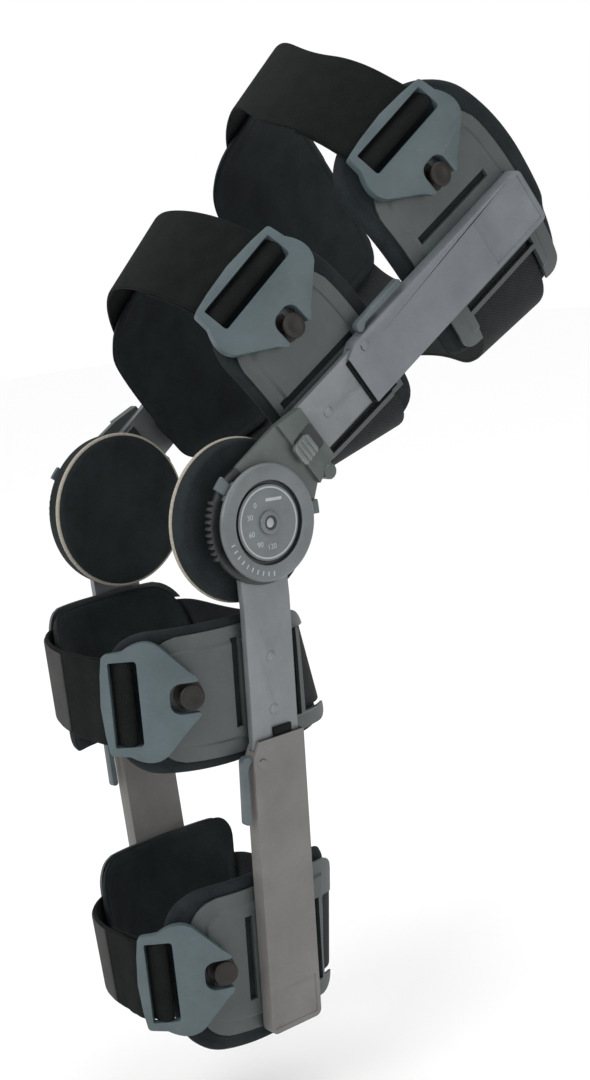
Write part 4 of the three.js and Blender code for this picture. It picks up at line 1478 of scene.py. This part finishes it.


# Painted shade: a thin dark plate under the lock slide darkens the recess round it.
def slide_shade_plate(side):
    (v0, w0), (v1, w1) = SLIDE_SHADE
    r = SLIDE_SHADE_CORNER
    outline = arc(v1 - r, w0 + r, r, -90, 0, 4) + arc(v1 - r, w1 - r, r, 0, 90, 4)
    outline += arc(v0 + r, w1 - r, r, 90, 180, 4) + arc(v0 + r, w0 + r, r, 180, 270, 4)
    piece = plate(f"{side}_lock_track", [outline], NECK_OUT - 0.1, NECK_OUT + 0.15)

    def stand(v, w, out):
        return seat("thigh", SIDES[side] * out / MM, v / MM, w / MM)

    move_points(piece, stand)
    face_out(piece)
    return dress(piece, dark_grey_and_shade, "thigh", "hinge")


for side in SIDES:
    soft_solid(f"{side}_hinge_plate", "metal", 0.4, dark_grey_and_shade, "thigh", "hinge")
    cover = soft_solid(f"{side}_hinge_cover", "moulding", 0.4, neck_grey, "thigh", "hinge")
    cut_across(cover, [NECK_FROM], (0, math.sin(FLEXION), math.cos(FLEXION)))
    second_finish(cover, dark_grey_and_shade, lambda face: along_thigh(face.center) < NECK_FROM)
    slide_shade_plate(side)
    slide = f"{side}_lock_slide"
    soft_solid(slide, "moulding", 0.3, slide_grey, slide, "hinge")
    for stop in (f"{side}_extension_stop", f"{side}_flexion_stop"):
        soft_solid(stop, "tab", 0.4, lever_grey, stop, "hinge")
print("hinge plates rounded")

# %% [markdown]
# The dial over the hinge is a turned disc: a raised ring with a soft edge, a deep groove, and a sunk face
# with a fine pale line round it. The pin in its middle has a dark head with a bright centre.

# %% Dial and pivot
DIAL_IN = 77.8
DIAL_OUT = 84.3
DIAL_FACE = DIAL_OUT - 1.2
GROOVE = (20.7, 23)
PIN_BRIGHT = 2.5
PIN_RING = 4.1


def turned_hinge_part(side, name, profile, sides, closed, material, slot, *stands_for):
    piece = turned(f"{side}_{name}", profile, sides, closed)
    smooth(piece, 35)
    move_points(piece, to_segment("thigh", side))
    face_out(piece)
    return dress(piece, material, "thigh", slot, *stands_for)


def from_axis(face):
    return math.hypot(face.center.y, face.center.z) / MM


def groove_shade_faces(face):
    return GROOVE[0] < from_axis(face) < GROOVE[1] and abs(face.center.x) / MM < DIAL_FACE


dial_profile = [(5.4, DIAL_IN), (26, DIAL_IN), (26, DIAL_IN + 3), (31.4, DIAL_IN + 3)]
dial_profile += arc(29.8, DIAL_OUT - 2.2, 2.2, 0, 90, 5)
dial_profile += arc(23.6, DIAL_OUT - 0.8, 0.8, 90, 180, 4)
dial_profile += [(22.6, DIAL_OUT - 2.8), (21.0, DIAL_OUT - 2.8)]
dial_profile += arc(20.2, DIAL_FACE - 0.5, 0.5, 0, 90, 3) + [(5.4, DIAL_FACE)]
low = DIAL_FACE - 0.1
high = DIAL_FACE + 0.12
line_profile = [(18.6, low), (19.5, low), (19.5, high), (18.6, high)]
under = DIAL_OUT - 0.9
pin_profile = [(0, 65.9), (5, 65.9), (5, under), (6.5, under)]
pin_profile += arc(5.5, under + 0.6, 0.9, 0, 90, 4)
pin_profile += [(4.1, under + 1.5), (2.9, under + 1.5), (2.6, under + 0.9), (0, under + 1.1)]
for side in SIDES:
    dial = turned_hinge_part(side, "hinge_dial_face", dial_profile, 128, True, hinge_grey, "hinge",
                             f"{side}_hinge_dial")
    # Painted shade: the faces inside the groove take the dark finish.
    second_finish(dial, dark_grey_and_shade, groove_shade_faces)
    turned_hinge_part(side, "hinge_dial_line", line_profile, 96, True, mark_pale, "hinge")
    pin = turned_hinge_part(side, "hinge_pivot_pin", pin_profile, 64, False, dark_grey_and_shade, "steel",
                            f"{side}_hinge_pivot")
    second_finish(pin, steel, lambda face: from_axis(face) < PIN_BRIGHT)
    second_finish(pin, hinge_grey, lambda face: from_axis(face) > PIN_RING)
print("dials and pivots turned")

# %% [markdown]
# The dial is marked in degrees, as such dials are: plain numbers on the sunk face, a short index bar, and a
# row of ticks on the ring. Numbers are text made into a mesh, and ticks are thin plates. All of them lie
# on the dial by the thickness of the paint.

# %% Dial marks
NUMBERS = {"0": 128, "30": 160, "60": 200, "90": 236, "120": 272}
NUMBER_RADIUS = 13.2
NUMBER_SIZE = 4.2
TICK_ANGLES = range(196, 272, 8)
PAINT = 0.12
PAINT_ROOT = 0.1
INDEX_BAR = {"radius": 13, "degrees": 68, "length": 11, "width": 1.7, "turn": -3}
TICK = {"radius": 27.4, "length": 2.6, "width": 0.8}


def bar_outline(radius, degrees, length, width, turn):
    middle = Vector((radius * math.cos(math.radians(degrees)), radius * math.sin(math.radians(degrees))))
    along = Vector((math.cos(math.radians(turn)), math.sin(math.radians(turn)))) * length / 2
    across = Vector((-along.y, along.x)).normalized() * width / 2
    return [tuple(middle + along * a + across * b) for a, b in ((-1, -1), (1, -1), (1, 1), (-1, 1))]


def number_mark(word, degrees):
    mark = added("number", bpy.ops.object.text_add)
    mark.data.body = word
    mark.data.size = NUMBER_SIZE * MM
    mark.data.align_x = "CENTER"
    mark.data.align_y = "CENTER"
    mark.data.extrude = PAINT * MM
    bpy.ops.object.convert(target="MESH")
    mark = bpy.context.object
    turn = math.radians(degrees)
    shift = Vector((math.cos(turn), math.sin(turn), 0)) * NUMBER_RADIUS * MM
    move_points(mark, lambda x, y, z: Vector((x, y, z + DIAL_FACE * MM)) + shift)
    return mark


def dial_marks(side):
    index = [bar_outline(**INDEX_BAR)]
    marks = [plate("index_bar", index, DIAL_FACE - PAINT_ROOT, DIAL_FACE + PAINT)]
    for degrees in TICK_ANGLES:
        tick = [bar_outline(degrees=degrees, turn=degrees, **TICK)]
        marks.append(plate("tick", tick, DIAL_OUT - PAINT_ROOT, DIAL_OUT + PAINT))
    marks += [number_mark(word, degrees) for word, degrees in NUMBERS.items()]
    piece = join_into(*marks)
    piece.name = f"{side}_hinge_dial_marks"
    piece.data.name = piece.name
    move_points(piece, lambda a, b, out: Vector((SIDES[side] * out, SIDES[side] * a, b)))
    face_out(piece)
    return dress(piece, mark_pale, "thigh", "hinge")


marks = [dial_marks(side) for side in SIDES]
print("marks on a dial:", len(marks[0].data.polygons), "faces")
